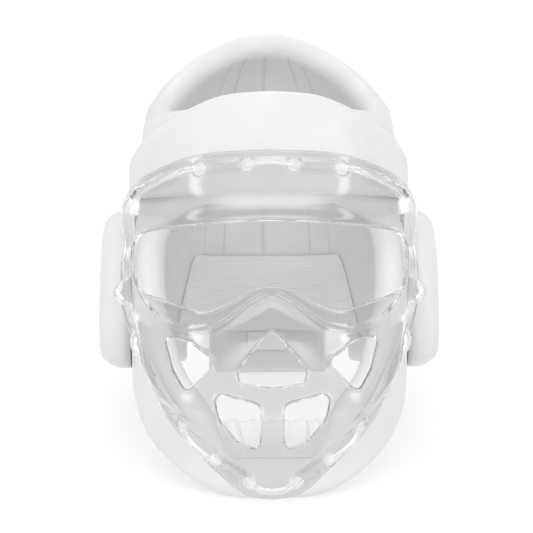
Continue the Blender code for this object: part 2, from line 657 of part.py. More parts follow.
def rear_elastic(material, parent):
    """Ribbed elastic panel that closes the notch from the inside."""
    across = np.linspace(-1, 1, 17)[:, None]
    up = np.linspace(0, 1, 4)[None]
    half = 180 - (ELASTIC_BOTTOM_ANGLE + up * (ELASTIC_TOP_ANGLE - ELASTIC_BOTTOM_ANGLE))
    heights = ELASTIC_BOTTOM + up * (ELASTIC_TOP - ELASTIC_BOTTOM) + 0 * across
    points, normals, quads = patch(180 + across * half, heights)
    top = np.full(len(points), -FOAM_WALL - SEAT)
    return thick_body(
        "rear_elastic", points, normals, quads, top, top - ELASTIC_THICK, material, parent
    )


def neck_flap(material, parent):
    """Padded flap below the elastic, at the nape."""
    across = (spread(12, 2 * REAR_REACH * math.radians(FLAP_HALF_ANGLE), FLAP_ROUND) * 2 - 1)[:, None]
    up = spread(6, FLAP_TOP - FLAP_BOTTOM, FLAP_ROUND)[None]
    heights = FLAP_BOTTOM + up * (FLAP_TOP - FLAP_BOTTOM) + 0 * across
    points, normals, quads = patch(180 + across * FLAP_HALF_ANGLE + 0 * up, heights)
    distance, _ = edge_distance(points, quads)
    swell = FLAP_THICK / 2 * (FLAP_WALL + (1 - FLAP_WALL) * rounded(distance, FLAP_ROUND))
    middle = -FOAM_WALL + SEAT + FLAP_THICK / 2
    return thick_body(
        "neck_flap", points, normals, quads, middle + swell, middle - swell, material, parent
    )


def size_label(material, parent):
    """Small bare label sewn to the inside of the flap, below the elastic."""
    across = np.linspace(-1, 1, 4)[:, None] * LABEL_HALF_ANGLE
    up = np.linspace(0, 1, 3)[None]
    heights = LABEL_TOP - LABEL_HEIGHT * (1 - up) + 0 * across
    points, normals, quads = patch(180 + across + 0 * up, heights)
    top = np.full(len(points), -FOAM_WALL)
    return thick_body("size_label", points, normals, quads, top, top - LABEL_THICK, material, parent)


def rest_tilt(chin, flap):
    """Angle, in radians, at which the chin bar and the flap come down to the same level."""
    low, high = 0.0, math.radians(45)
    for _ in range(40):
        tilt = (low + high) / 2
        down = np.array((0, -math.sin(tilt), math.cos(tilt)))
        if (chin @ down).min() < (flap @ down).min():
            low = tilt
        else:
            high = tilt
    return tilt


def mesh_points(body):
    count = len(body.data.vertices)
    points = np.empty(count * 3)
    body.data.vertices.foreach_get("co", points)
    return points.reshape(-1, 3)


def middle_depth():
    """Y of the middle of the whole guard, as it stands."""
    graph = bpy.context.evaluated_depsgraph_get()
    depths = []
    for body in bpy.context.scene.objects:
        if body.type == "EMPTY" or body.hide_render:
            continue
        seen = body.evaluated_get(graph)
        depths += [(seen.matrix_world @ vertex.co).y for vertex in seen.to_mesh().vertices]
        seen.to_mesh_clear()
    return (min(depths) + max(depths)) / 2


def floor_cutter(parent, tilt, level):
    """Slab under the floor, in head coordinates."""
    size = 2 * (REAR_REACH + FRONT_REACH)
    turn = np.array(Matrix.Rotation(tilt, 3, "X"))
    corners = [(x, y, z) for z in (-size, level) for x, y in
               ((-size, -size), (size, -size), (size, size), (-size, size))]
    faces = [[3, 2, 1, 0], [4, 5, 6, 7], [0, 1, 5, 4], [1, 2, 6, 5], [2, 3, 7, 6], [3, 0, 4, 7]]
    return closed_cutter("floor_cutter", np.array(corners) @ turn.T, faces, parent)


def main():
    for old in list(bpy.data.objects):
        bpy.data.objects.remove(old)
    foam = make_material("dipped_foam", (0.86, 0.86, 0.86), 0.42)
    clear = make_material("clear_shield", (0.93, 0.94, 0.95), 0.06, 0.30)
    tube = make_material("clear_lace", (0.92, 0.93, 0.94), 0.15, 0.55)
    knit = make_material("ribbed_elastic", (0.80, 0.80, 0.80), 0.85)
    satin = make_material("label_satin", (0.90, 0.90, 0.90), 0.55)

    frame = bpy.data.objects.new("headgear_frame", None)
    bpy.context.scene.collection.objects.link(frame)
    shell = headguard_shell(foam, frame)
    band = forehead_band(foam, frame)
    ear_guard("ear_guard_left", -1, foam, frame)
    ear_guard("ear_guard_right", 1, foam, frame)
    chin_pad(foam, frame)
    rear_elastic(knit, frame)
    flap = neck_flap(foam, frame)
    size_label(satin, frame)
    shield = face_shield(clear, frame)
    for side in (-1, 1):
        for k, (share, level) in enumerate(LACE_HOLES):
            cut(shield, hole_cutter(f"hole_cutter_{k}_{side}", (side * share, level), frame))
        for k, ends in enumerate(LACE_SLOTS):
            start, end = ((side * share, level) for share, level in ends)
            cut(shield, slot_cutter(f"slot_cutter_{k}_{side}", start, end, LACE_SLOT_WIDTH, frame))
    lace_tube("shield_lace", LACE_DIAMETER / 2, tube, frame)
    lace_bed = as_mesh(lace_tube("lace_bed", LACE_DIAMETER / 2 + LACE_BED_CLEAR, None, frame), frame)
    for body in (shell, band, shield):
        cut(body, lace_bed)

    tilt = rest_tilt(mesh_points(shell), mesh_points(flap))
    down = np.array((0, -math.sin(tilt), math.cos(tilt)))
    level = (mesh_points(flap) @ down).min() + FLOOR_TRIM
    floor = floor_cutter(frame, tilt, level)
    cut(shell, floor)
    cut(flap, floor)
    frame.rotation_euler = (-tilt, 0, 0)
    frame.location = (0, 0, -level)
    frame.location.y -= middle_depth()


main()
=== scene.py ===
# %% [markdown]
# # A padded karate headgear with a clear face shield
#
# The real thing is a white head guard of foam dipped in soft vinyl. Its crown is open, two thick pads cover
# the ears, and a clear moulded shield is laced to its front with a clear tube. This lesson dresses the solid
# model of it: each soft or moulded piece is worked out again as a fine surface with numpy, in the same place
# and from the same sizes, and gets a finish made of shader nodes.

# %% Load the solid model
import math

import bmesh
import bpy
import numpy as np
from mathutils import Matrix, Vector


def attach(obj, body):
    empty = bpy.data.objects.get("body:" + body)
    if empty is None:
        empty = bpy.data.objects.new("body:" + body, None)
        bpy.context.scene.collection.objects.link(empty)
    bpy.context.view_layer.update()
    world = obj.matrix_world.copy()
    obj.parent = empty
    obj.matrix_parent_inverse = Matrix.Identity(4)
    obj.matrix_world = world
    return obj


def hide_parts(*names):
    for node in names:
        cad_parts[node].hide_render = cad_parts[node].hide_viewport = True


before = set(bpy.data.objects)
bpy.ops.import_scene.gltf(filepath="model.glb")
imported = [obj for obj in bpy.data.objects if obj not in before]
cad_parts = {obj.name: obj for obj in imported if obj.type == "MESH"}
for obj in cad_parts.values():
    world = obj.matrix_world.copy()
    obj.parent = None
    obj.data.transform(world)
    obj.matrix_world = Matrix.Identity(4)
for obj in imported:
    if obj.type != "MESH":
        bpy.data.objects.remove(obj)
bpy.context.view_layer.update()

# %% [markdown]
# ## Sizes
#
# The guard is designed level, as it is worn: X runs across it, -Y ahead of the face and Z up, with zero in
# the middle of the head at eye height. It then leans back until its chin bar and its neck flap stand on the
# floor. So every surface is worked out in head coordinates and turned once, when its mesh is made.

# %% Driving sizes in metres
HALF_WIDTH = 0.091
FRONT_REACH = 0.104
REAR_REACH = 0.107
CROWN_HEIGHT = 0.172
CHIN_DEPTH = 0.143
BROW_HEIGHT = 0.056
FOAM_WALL = 0.018
SEAT = 0.0007
LEAN = math.radians(19.7734)
PLACE = np.array((0.0, 0.007076, 0.101901))

FACE_TOP, FACE_BOTTOM = 0.041, -0.096
NOTCH_TOP, NOTCH_SIDE_ANGLE, NOTCH_TOP_ANGLE = 0.001, 137.0, 149.0

SECTIONS = np.array((
    # height, width, front, rear
    (-1.10, 0.87, 0.920, 0.94),
    (-0.77, 0.955, 0.985, 0.96),
    (-0.49, 0.985, 1.000, 0.97),
    (-0.14, 0.990, 0.965, 0.99),
    (0.18, 0.960, 0.885, 1.00),
    (0.30, 0.932, 0.840, 1.00),
    (0.39, 0.925, 0.830, 1.00),
))
SQUARENESS = 2.5
DOME_ROUND_SIDES, DOME_ROUND_LENGTH = 2.4, 3.0
CROWN_RIM = (
    (0, 0.584), (30, 0.584), (60, 0.587), (90, 0.665), (105, 0.755), (120, 0.838),
    (150, 0.926), (165, 0.943), (180, 0.947),
)
BOTTOM_RIM = (
    (0, -1.000), (20, -0.980), (33, -0.930), (45, -0.865), (57, -0.795),
    (70, -0.700), (82, -0.600), (95, -0.530), (120, -0.480), (150, -0.460), (180, -0.460),
)
FACE_SIDE = (
    (0.0, 17.0), (0.12, 27.0), (0.22, 38.0), (0.36, 47.0), (0.52, 56.0),
    (0.70, 63.0), (0.85, 60.0), (0.94, 48.0), (0.985, 33.0), (1.0, 24.0),
)
print("head guard", 2 * HALF_WIDTH, "m wide over the foam")

# %% [markdown]
# ## The foam's outside as one formula
#
# Everything on this object lies on or near one surface, the outside of the foam. From above, each section of
# it is a squared ellipse. A short table gives its width and reach at a few heights, and a smooth curve runs
# through the table. Above the brow the section shrinks, as on a dome. Two parameters, the angle from the
# front and the height, then give any point, so a pad, a band or the shield is a patch of the same surface
# moved along its normal.

# %% Curves through tables
def smooth(x, table):
    """Cubic through the rows of a table: each stretch blends the two ends' values and slopes."""
    xs, ys = np.array(table, float).T
    slopes = np.gradient(ys, xs)
    i = np.clip(np.searchsorted(xs, x) - 1, 0, len(xs) - 2)
    width = xs[i + 1] - xs[i]
    t = np.clip((x - xs[i]) / width, 0, 1)
    start = (1 + 2 * t) * (1 - t) ** 2 * ys[i] + t * (1 - t) ** 2 * width * slopes[i]
    return start + t * t * (3 - 2 * t) * ys[i + 1] + t * t * (t - 1) * width * slopes[i + 1]


def ease(x):
    """3x² - 2x³ between 0 and 1: a rise that starts and ends level."""
    x = np.clip(x, 0, 1)
    return x * x * (3 - 2 * x)


# %% The outside of the foam
def outside(angle, height):
    """Squared ellipse: x = width·sin^p, y = -reach·cos^p, p = 2/squareness, shrunk by sqrt(1 - rise^n)."""
    level = np.minimum(height, BROW_HEIGHT) / CHIN_DEPTH
    width, front, rear = (smooth(level, SECTIONS[:, (0, k)]) for k in (1, 2, 3))
    rise = np.clip((height - BROW_HEIGHT) / (CROWN_HEIGHT - BROW_HEIGHT), 0, 0.999)
    a = np.radians(angle)
    s, c = np.sin(a), np.cos(a)
    across = HALF_WIDTH * width * np.sqrt(1 - rise**DOME_ROUND_SIDES)
    along = np.where(c > 0, FRONT_REACH * front, REAR_REACH * rear) * np.sqrt(1 - rise**DOME_ROUND_LENGTH)
    x = across * np.sign(s) * np.abs(s) ** (2 / SQUARENESS)
    y = -along * np.sign(c) * np.abs(c) ** (2 / SQUARENESS)
    return np.stack([x, y, height + 0 * x], -1)


def outward(angle, height):
    """Unit normal: the cross product of a small step round the surface and a small step up it."""
    around = outside(angle + 0.5, height) - outside(angle - 0.5, height)
    up = outside(angle, height + 0.0005) - outside(angle, height - 0.0005)
    normal = np.cross(around, up)
    return normal / np.linalg.norm(normal, axis=-1, keepdims=True)


def off_foam(angle, height, distance):
    """Foot point on the foam plus its normal times a distance."""
    return outside(angle, height) + outward(angle, height) * np.asarray(distance)[..., None]


def bottom_rim(angle):
    """Height of the foam's lower edge: the table's share times the chin's depth."""
    return smooth(np.abs(angle), BOTTOM_RIM) * CHIN_DEPTH


def crown_rim(angle):
    """Height of the foam's upper edge: the table's share times the crown's height."""
    return smooth(np.abs(angle), CROWN_RIM) * CROWN_HEIGHT


print("front of the brow at", outside(0.0, BROW_HEIGHT).round(4))

# %% [markdown]
# ## From a sheet to a closed body
#
# A pad is a sheet with a thickness. Its two skins lie off the sheet along the normals, and where the sheet
# ends they meet in a rounded rim: at a distance d inside the edge the wall has the height of a quarter
# circle, sqrt(1 - (1 - d/r)²). So each body needs its distance from the edge, and short steps near it.

# %% Sheets, edges and distances
def to_world(points):
    """Turns head coordinates by the lean about X, then moves them to where the guard stands."""
    s, c = math.sin(LEAN), math.cos(LEAN)
    x, y, z = np.asarray(points, float).T
    return np.stack([x, c * y + s * z, c * z - s * y], -1) + PLACE


def stops(count, length, edge, rim=6):
    """Shares 0 to 1 in count steps. Near both ends they follow edge·(1 - cos), which crowds them there."""
    near = edge * (1 - np.cos(np.linspace(0, np.pi / 2, rim + 1)[:-1]))
    middle = np.linspace(edge, length - edge, count - 2 * rim + 1)
    return np.concatenate([near, middle, (length - near)[::-1]]) / length


def grid_quads(columns, rows, around=False, skip=None):
    """Quads of a grid numbered column by column. skip(i, j) is true for the cells that are left open."""
    i, j = np.meshgrid(np.arange(columns), np.arange(rows), indexing="ij")
    kept = np.ones(i.shape, bool) if skip is None else ~skip(i, j)
    i, j = i[kept], j[kept]
    a = i * (rows + 1) + j
    b = ((i + 1) % columns if around else i + 1) * (rows + 1) + j
    return np.stack([a, b, b + 1, a + 1], -1)


def open_edges(faces):
    """Directed edges that only one face has."""
    pairs = np.concatenate([np.stack([faces[:, k], np.roll(faces, -1, 1)[:, k]], -1)
                            for k in range(faces.shape[1])])
    key = np.sort(pairs, 1) @ (int(faces.max()) + 1, 1)
    _, place, count = np.unique(key, return_index=True, return_counts=True)
    return pairs[place[count == 1]]


def distance_to(points, start, end):
    """Least distance from each point to the straight pieces start-end, a few thousand points at a time."""
    along = end - start
    length2 = np.maximum((along**2).sum(-1), 1e-16)
    out = []
    for part in np.array_split(points, max(1, len(points) // 1500)):
        share = np.clip(((part[:, None] - start) * along).sum(-1) / length2, 0, 1)
        out.append(np.linalg.norm(part[:, None] - start - share[..., None] * along, axis=-1).min(1))
    return np.concatenate(out)


def rounded(distance, radius):
    """Height of a quarter circle at a distance from its foot, as a share: sqrt(1 - (1 - d/r)²)."""
    return np.sqrt(1 - (1 - np.clip(distance / radius, 0, 1)) ** 2)


# %% Meshes
def make_mesh(name, points, faces, masks=None):
    """Object whose mesh has its place in its points. Masks are numbers per point, kept as attributes."""
    mesh = bpy.data.meshes.new(name)
    mesh.from_pydata(to_world(points).tolist(), [], [list(face) for face in faces])
    heights = np.empty(len(points) * 3)
    mesh.vertices.foreach_get("co", heights)
    heights[2::3] = np.maximum(heights[2::3], 0)
    mesh.vertices.foreach_set("co", heights)
    for mask, values in (masks or {}).items():
        mesh.attributes.new(mask, "FLOAT", "POINT").data.foreach_set("value", np.asarray(values, float))
    shape = bmesh.new()
    shape.from_mesh(mesh)
    bmesh.ops.remove_doubles(shape, verts=shape.verts, dist=2e-6)
    bmesh.ops.dissolve_degenerate(shape, edges=shape.edges, dist=1e-7)
    bmesh.ops.recalc_face_normals(shape, faces=shape.faces)
    shape.to_mesh(mesh)
    shape.free()
    mesh.shade_smooth()
    piece = bpy.data.objects.new(name, mesh)
    bpy.context.scene.collection.objects.link(piece)
    return piece


def body_of(name, points, normals, faces, top, bottom, masks=None):
    """Closed body between the skins points + top·normal and points + bottom·normal, walled at its edges.
    Masks have a value for each point of the upper skin, then of the lower."""
    count = len(points)
    rim = open_edges(faces)
    skins = np.concatenate([points + normals * top[:, None], points + normals * bottom[:, None]])
    walls = np.stack([rim[:, 1], rim[:, 0], rim[:, 0] + count, rim[:, 1] + count], -1)
    every = [*faces.tolist(), *(faces[:, ::-1] + count).tolist(), *walls.tolist()]
    used = np.unique(np.concatenate([faces.ravel(), faces.ravel() + count]))
    place = np.zeros(2 * count, int)
    place[used] = np.arange(len(used))
    every = [place[face].tolist() for face in every]
    return make_mesh(name, skins[used], every, {mask: values[used] for mask, values in (masks or {}).items()})


def patch_body(name, angles, heights, top, bottom):
    """Closed body over a patch of the foam's surface, given by a grid of angles and a grid of heights."""
    faces = grid_quads(angles.shape[0] - 1, angles.shape[1] - 1)
    flat = [np.broadcast_to(values, angles.shape).ravel() for values in (top, bottom)]
    points, normals = outside(angles.ravel(), heights.ravel()), outward(angles.ravel(), heights.ravel())
    return body_of(name, points, normals, faces, *flat)


def edge_of(points, faces):
    """Distance of each point of a sheet from the sheet's nearest open edge."""
    rim = open_edges(faces)
    return distance_to(points, points[rim[:, 0]], points[rim[:, 1]])


def edge_distance(angles, heights):
    """Distance of each point of a patch of the foam's surface from the patch's own edge."""
    points = outside(angles.ravel(), heights.ravel())
    return edge_of(points, grid_quads(angles.shape[0] - 1, angles.shape[1] - 1)).reshape(angles.shape)


def swollen(distance, wall, radius):
    """Share of a pad's full height: a low wall at its edge, and from there a quarter circle."""
    return wall + (1 - wall) * rounded(distance, radius)


def even_grid(columns, rows):
    """Shares -1 to 1 across a patch and 0 to 1 up it, in even steps."""
    return np.linspace(-1, 1, columns + 1)[:, None], np.linspace(0, 1, rows + 1)[None]


def report(piece):
    """Prints how many faces a piece has, and hands it back."""
    print(piece.name, len(piece.data.polygons), "faces")
    return piece


# %% [markdown]
# ## Helpers for shader nodes
#
# Finishes are made of nodes, and the same few steps come back in each: add a node and wire it, do a sum, move
# a value from one range to another. Short helpers keep each finish readable.

# %% Node helpers
def group_of(name, inputs, outputs):
    """New shader node group with float inputs (name, value) and float outputs."""
    group = bpy.data.node_groups.new(name, "ShaderNodeTree")
    for label, value in inputs:
        group.interface.new_socket(label, in_out="INPUT", socket_type="NodeSocketFloat").default_value = value
    for label in outputs:
        group.interface.new_socket(label, in_out="OUTPUT", socket_type="NodeSocketFloat")
    return group, group.nodes.new("NodeGroupInput"), group.nodes.new("NodeGroupOutput")


def node(tree, kind, links=None, **values):
    """New node of a kind. links gives the socket that feeds each input, values its plain properties."""
    made = tree.nodes.new(kind)
    for name, value in values.items():
        setattr(made, name, value)
    for key, source in (links or {}).items():
        if isinstance(source, (int, float, tuple)):
            made.inputs[key].default_value = source
        else:
            tree.links.new(source, made.inputs[key])
    return made


def math_of(tree, operation, a, b=0.0, c=0.0):
    """Output of a Math node."""
    links = {0: a, 1: b}
    if operation == "MULTIPLY_ADD":
        links[2] = c
    return node(tree, "ShaderNodeMath", links, operation=operation).outputs[0]


def noise_of(tree, where, scale, detail=3.0, rough=0.5):
    """Output of a noise texture."""
    links = {"Vector": where, "Scale": scale, "Detail": detail, "Roughness": rough}
    return node(tree, "ShaderNodeTexNoise", links).outputs["Fac"]


def range_of(tree, value, low, high, out_low=0.0, out_high=1.0):
    """Value moved from one range to another, and kept inside it."""
    links = {"Value": value, "From Min": low, "From Max": high, "To Min": out_low, "To Max": out_high}
    return node(tree, "ShaderNodeMapRange", links).outputs["Result"]


# %% [markdown]
# ## The camera, the floor and the light
#
# The photograph was taken with a long lens, level with the eyes of the guard as it is worn. The guard leans
# back as it stands, so the same camera is tipped with it and looks a little down. The studio is plain: a
# white paper floor that fills the picture, a bright sky, and soft boxes above, behind and at both sides.

# %% Camera
VIEW_FROM, VIEW_AT = (-0.018, -1.2, 0.0), (-0.0015, 0.0, 0.0)
LENS = 122.7
camera = bpy.data.objects.new("camera", bpy.data.cameras.new("camera"))
bpy.context.scene.collection.objects.link(camera)
camera.data.lens = LENS
camera.location, view_at = (Vector(point) for point in to_world([VIEW_FROM, VIEW_AT]))
camera.rotation_euler = (view_at - camera.location).to_track_quat("-Z", "Y").to_euler()
bpy.context.scene.camera = camera
bpy.context.scene.view_settings.view_transform = "Standard"
print("camera at", [round(x, 3) for x in camera.location])

# %% Floor and lamps
def finish_of(name, colour, roughness):
    """New material with a Principled shader, and its node tree."""
    material = bpy.data.materials.new(name)
    material.use_nodes = True
    shader = material.node_tree.nodes["Principled BSDF"]
    shader.inputs["Base Color"].default_value = (*colour, 1)
    shader.inputs["Roughness"].default_value = roughness
    return material, material.node_tree, shader


LAMP_FULL = 0.12


def soft_edges(tree):
    """Light that fades towards the lamp's edges: a smooth step of the way from each edge to the middle."""
    place = node(tree, "ShaderNodeNewGeometry").outputs["Parametric"]
    across = node(tree, "ShaderNodeSeparateXYZ", {0: place})
    fades = []
    for axis in ("X", "Y"):
        off_middle = math_of(tree, "ABSOLUTE", math_of(tree, "SUBTRACT", across.outputs[axis], 0.5))
        links = {"Value": off_middle, "From Min": 0.5, "From Max": LAMP_FULL, "To Min": 0.0, "To Max": 1.0}
        fade = node(tree, "ShaderNodeMapRange", links, interpolation_type="SMOOTHSTEP")
        fades.append(fade.outputs["Result"])
    return math_of(tree, "MULTIPLY", fades[0], fades[1])


def lamp(name, place, aim, size, power):
    """Rectangular soft box, wide by tall, that looks from its place at a point."""
    data = bpy.data.lights.new(name, "AREA")
    data.shape = "RECTANGLE"
    data.size, data.size_y = size
    data.energy = power
    data.use_nodes = True
    data.node_tree.links.new(soft_edges(data.node_tree), data.node_tree.nodes["Emission"].inputs["Strength"])
    made = bpy.data.objects.new(name, data)
    made.location = place
    back = np.array(place) - np.array(aim)
    tip = math.acos(back[2] / np.linalg.norm(back))
    made.rotation_euler = (tip, 0, math.atan2(back[1], back[0]) + math.pi / 2)
    bpy.context.scene.collection.objects.link(made)


FLOOR_HALF, PAPER_GREY, PAPER_GLOW = 6.0, 0.42, 0.55


def make_floor():
    """Large plain sheet under the guard, lit a little from below as a photographer's table is."""
    mesh = bpy.data.meshes.new("floor")
    corners = [(FLOOR_HALF * x, FLOOR_HALF * y, 0) for x, y in ((-1, -1), (1, -1), (1, 1), (-1, 1))]
    mesh.from_pydata(corners, [], [(0, 1, 2, 3)])
    floor = bpy.data.objects.new("floor", mesh)
    bpy.context.scene.collection.objects.link(floor)
    paper, _, shader = finish_of("floor_paper", (PAPER_GREY, PAPER_GREY, PAPER_GREY), 0.9)
    shader.inputs["Emission Color"].default_value = (1, 1, 1, 1)
    shader.inputs["Emission Strength"].default_value = PAPER_GLOW
    mesh.materials.append(paper)


make_floor()
LAMPS = (
    # name, place, point looked at, wide by tall, watts
    ("left_strip", (-1.35, -1.15, 0.8), (0, 0, 0.1), (0.5, 1.8), 8),
    ("right_strip", (1.35, -1.15, 0.8), (0, 0, 0.1), (0.45, 1.8), 7),
    ("top_box", (0.0, -1.10, 1.8), (0, 0, 0.1), (3.0, 1.6), 33),
    ("near_left", (-0.42, -1.25, 0.05), (0, 0, 0.0), (0.30, 0.9), 2.6),
    ("near_right", (0.42, -1.25, 0.05), (0, 0, 0.0), (0.30, 0.9), 2.6),
    ("rim_left", (-1.3, 0.9, 0.4), (0, 0, 0.0), (0.5, 1.4), 4),
    ("rim_right", (1.3, 0.9, 0.4), (0, 0, 0.0), (0.5, 1.4), 4),
    ("back_box", (0.0, 1.2, 1.4), (0, 0, 0.1), (2.2, 0.8), 9),
    ("floor_box", (0.0, 1.5, 2.4), (0, 1.5, 0.0), (4.0, 3.0), 20),
)
for lamp_row in LAMPS:
    lamp(*lamp_row)
SKY_LOW, SKY_HIGH = 0.52, 0.85


def make_sky():
    """World that is brightest overhead and dims towards the horizon: low + (high - low)·(z + 0.1)."""
    sky = bpy.data.worlds.new("sky")
    bpy.context.scene.world = sky
    sky.use_nodes = True
    tree = sky.node_tree
    direction = node(tree, "ShaderNodeTexCoord").outputs["Generated"]
    up = node(tree, "ShaderNodeSeparateXYZ", {0: direction}).outputs["Z"]
    background = tree.nodes["Background"]
    background.inputs["Color"].default_value = (1, 1, 1, 1)
    tree.links.new(range_of(tree, up, -0.1, 0.9, SKY_LOW, SKY_HIGH), background.inputs["Strength"])


make_sky()
print(len(LAMPS), "lamps, and a sky that dims towards the horizon")

# %% [markdown]
# ## The foam body
#
# The body is one wall of foam about 18 mm thick, dipped in vinyl, so all its edges are round. Its grid runs
# round the head in columns and from the lower edge to the crown in rows. The middle rows follow the face
# opening, and the rear rows follow the notch at the nape, so that both openings are simply cells left out.
# Where the inside lining was cut from panels, narrow grooves run up the back and close in towards the crown,
# and shade is painted into them.

# %% Grid of the foam body
FRONT_COLUMNS, SIDE_COLUMNS, REAR_COLUMNS = 72, 84, 36
BOTTOM_ROWS, FACE_ROWS, TOP_ROWS = 24, 34, 26
NOTCH_ROW = 34
CHIN_SPREAD, BROW_SPREAD = 4.0, 8.0
SIDE_LENGTH = 1.2 * (HALF_WIDTH + REAR_REACH)


def foam_grid():
    """Angles and heights: rows share out the wall's height, bent to the two openings' edges."""
    edge = FOAM_WALL / 2
    share = np.linspace(0, 1, FACE_ROWS + 1)
    side_share = 0.65 * share + 0.35 * share * (2 - share)
    side_angle = smooth(side_share, FACE_SIDE)
    low, high = bottom_rim(side_angle), crown_rim(side_angle)
    side_level = (FACE_BOTTOM + side_share * (FACE_TOP - FACE_BOTTOM) - low) / (high - low)
    chin = stops(BOTTOM_ROWS, FACE_BOTTOM + CHIN_DEPTH, edge)
    brow = stops(TOP_ROWS, crown_rim(0) - FACE_TOP, edge)
    front_level = np.concatenate([
        chin[:-1] * side_level[0], side_level, side_level[-1] + brow[1:] * (1 - side_level[-1]),
    ])
    front_angle = np.concatenate([
        side_angle[0] + (1 - chin[:-1]) * CHIN_SPREAD, side_angle,
        side_angle[-1] + brow[1:] * BROW_SPREAD,
    ])
    rows = BOTTOM_ROWS + FACE_ROWS + TOP_ROWS
    low, high = bottom_rim(NOTCH_TOP_ANGLE), crown_rim(NOTCH_TOP_ANGLE)
    notch_level = (NOTCH_TOP - low) / (high - low)
    below = stops(NOTCH_ROW, NOTCH_TOP - low, edge)
    above = stops(rows - NOTCH_ROW, high - NOTCH_TOP, edge)
    rear_level = np.concatenate([below[:-1] * notch_level, notch_level + above * (1 - notch_level)])
    rear_angle = np.concatenate([
        NOTCH_SIDE_ANGLE + below[:-1] ** 2 * (NOTCH_TOP_ANGLE - NOTCH_SIDE_ANGLE),
        np.full(len(above), NOTCH_TOP_ANGLE),
    ])
    across = np.linspace(-1, 1, FRONT_COLUMNS + 1)[:, None]
    way = stops(SIDE_COLUMNS, SIDE_LENGTH, edge)[1:, None]
    back = np.linspace(0, 1, 2 * REAR_COLUMNS + 1)[1:, None]
    right_angle = front_angle + way * (rear_angle - front_angle)
    right_level = front_level + ease(way) * (rear_level - front_level)
    angle = np.concatenate([
        across * front_angle, right_angle, rear_angle + back * (360 - 2 * rear_angle),
        360 - right_angle[-2::-1],
    ])
    level = np.concatenate([
        front_level + 0 * across, right_level, rear_level + 0 * back, right_level[-2::-1],
    ])
    bend = np.where(angle > 180, 360 - angle, np.abs(angle))
    return angle, bottom_rim(bend) + level * (crown_rim(bend) - bottom_rim(bend))


def foam_openings(i, j):
    """True for the cells of the face opening and of the notch at the nape."""
    face = (i < FRONT_COLUMNS) & (j >= BOTTOM_ROWS) & (j < BOTTOM_ROWS + FACE_ROWS)
    first = FRONT_COLUMNS + SIDE_COLUMNS
    return face | ((i >= first) & (i < first + 2 * REAR_COLUMNS) & (j < NOTCH_ROW))


# %% The border of the shield and what lies under it
BAND_THICK, BAND_SEAT, BAND_BOTTOM = 0.006, 0.0012, 0.043
BORDER_STEP, BORDER_STEP_AT, BORDER_STEP_WIDTH = 0.0013, 0.0052, 0.0013
SHIELD_THICK, SHIELD_SEAT, SHIELD_STEP_CLEAR = 0.0025, 0.0010, 0.010
SHIELD_SIDE_ANGLE = 75.0
SHIELD_BULGE, SHIELD_BULGE_HEIGHT, SHIELD_BULGE_SPREAD = 0.014, -0.080, 0.042
SHIELD_FLARE, FLARE_START, FLARE_TOP_SHARE = 0.0052, 0.73, 0.20
SHIELD_CLIMB, FLANGE, FLANGE_BLEND = 0.022, 0.008, 0.018
SHIELD_BOTTOM = (
    (0.0, -0.985), (0.10, -0.965), (0.24, -0.865), (0.42, -0.735), (0.56, -0.625),
    (0.67, -0.475), (0.77, -0.375), (0.87, -0.285), (1.0, -0.120),
)
SHIELD_TOP = ((0.0, 0.497), (0.32, 0.478), (0.52, 0.440), (0.80, 0.370), (0.93, 0.315), (1.0, 0.270))


def shield_border(angle):
    """Lower and upper edge of the shield at an angle."""
    share = np.abs(angle) / SHIELD_SIDE_ANGLE
    return smooth(share, SHIELD_BOTTOM) * CHIN_DEPTH, smooth(share, SHIELD_TOP) * CHIN_DEPTH


def shield_inside(angle, height):
    """Distance of the shield's inner face from the foam: seat + climb over the band + bulge + side flare."""
    low, high = shield_border(angle)
    side = (SHIELD_SIDE_ANGLE - np.abs(angle)) * math.radians(1) * HALF_WIDTH
    border = np.minimum(np.minimum(height - low, high - height), side)
    bulge = np.exp(-(((height - SHIELD_BULGE_HEIGHT) / SHIELD_BULGE_SPREAD) ** 2))
    lift = SHIELD_BULGE * bulge * ease((border - FLANGE) / FLANGE_BLEND)
    climb_end = BAND_BOTTOM - SHIELD_STEP_CLEAR
    climb = (BAND_THICK + BAND_SEAT) * ease((height - climb_end) / SHIELD_CLIMB + 1)
    flare = SHIELD_FLARE * ease((np.abs(angle) / SHIELD_SIDE_ANGLE - FLARE_START) / (1 - FLARE_START))
    flare = flare * (1 - (1 - FLARE_TOP_SHARE) * ease(height / climb_end))
    return SHIELD_SEAT + climb + lift + flare


# %% [markdown]
# ## Where the lace runs
#
# A clear tube holds the shield. It goes over and under the shield's border through round holes and slots, all
# the way round, and its two ends meet where they don't show, so it is one closed loop. Its route is a list of
# given places, and a smooth curve runs through them. The route comes first because the soft foam is
# pressed down wherever the tube passes under the shield.

# %% Route of the lace
LACE_DIAMETER, LACE_CLEAR = 0.004, 0.0006
LACE_ROUTE = (
    (0.000, -0.940, 1), (0.040, -0.930, 1), (0.120, -0.892, -1), (0.190, -0.850, -1),
    (0.290, -0.785, 1), (0.375, -0.722, 1), (0.480, -0.640, -1), (0.600, -0.535, -1),
    (0.685, -0.440, -1), (0.765, -0.345, 1), (0.855, -0.240, -1), (0.895, -0.190, -1),
    (0.938, -0.116, 1), (0.943, -0.025, -1), (0.940, 0.100, -1), (0.900, 0.230, -1),
    (0.800, 0.315, -1), (0.640, 0.354, -1), (0.530, 0.382, -1), (0.372, 0.413, 1),
    (0.245, 0.425, -1), (0.130, 0.431, -1), (0.035, 0.443, 1), (0.000, 0.448, 1),
)


def shield_place(share, level, distance):
    """Point off the shield's inner face, at a share of its side angle and a level of the chin's depth."""
    angle = np.asarray(share, float) * SHIELD_SIDE_ANGLE
    height = np.asarray(level, float) * CHIN_DEPTH
    return off_foam(angle, height, shield_inside(angle, height) + distance)


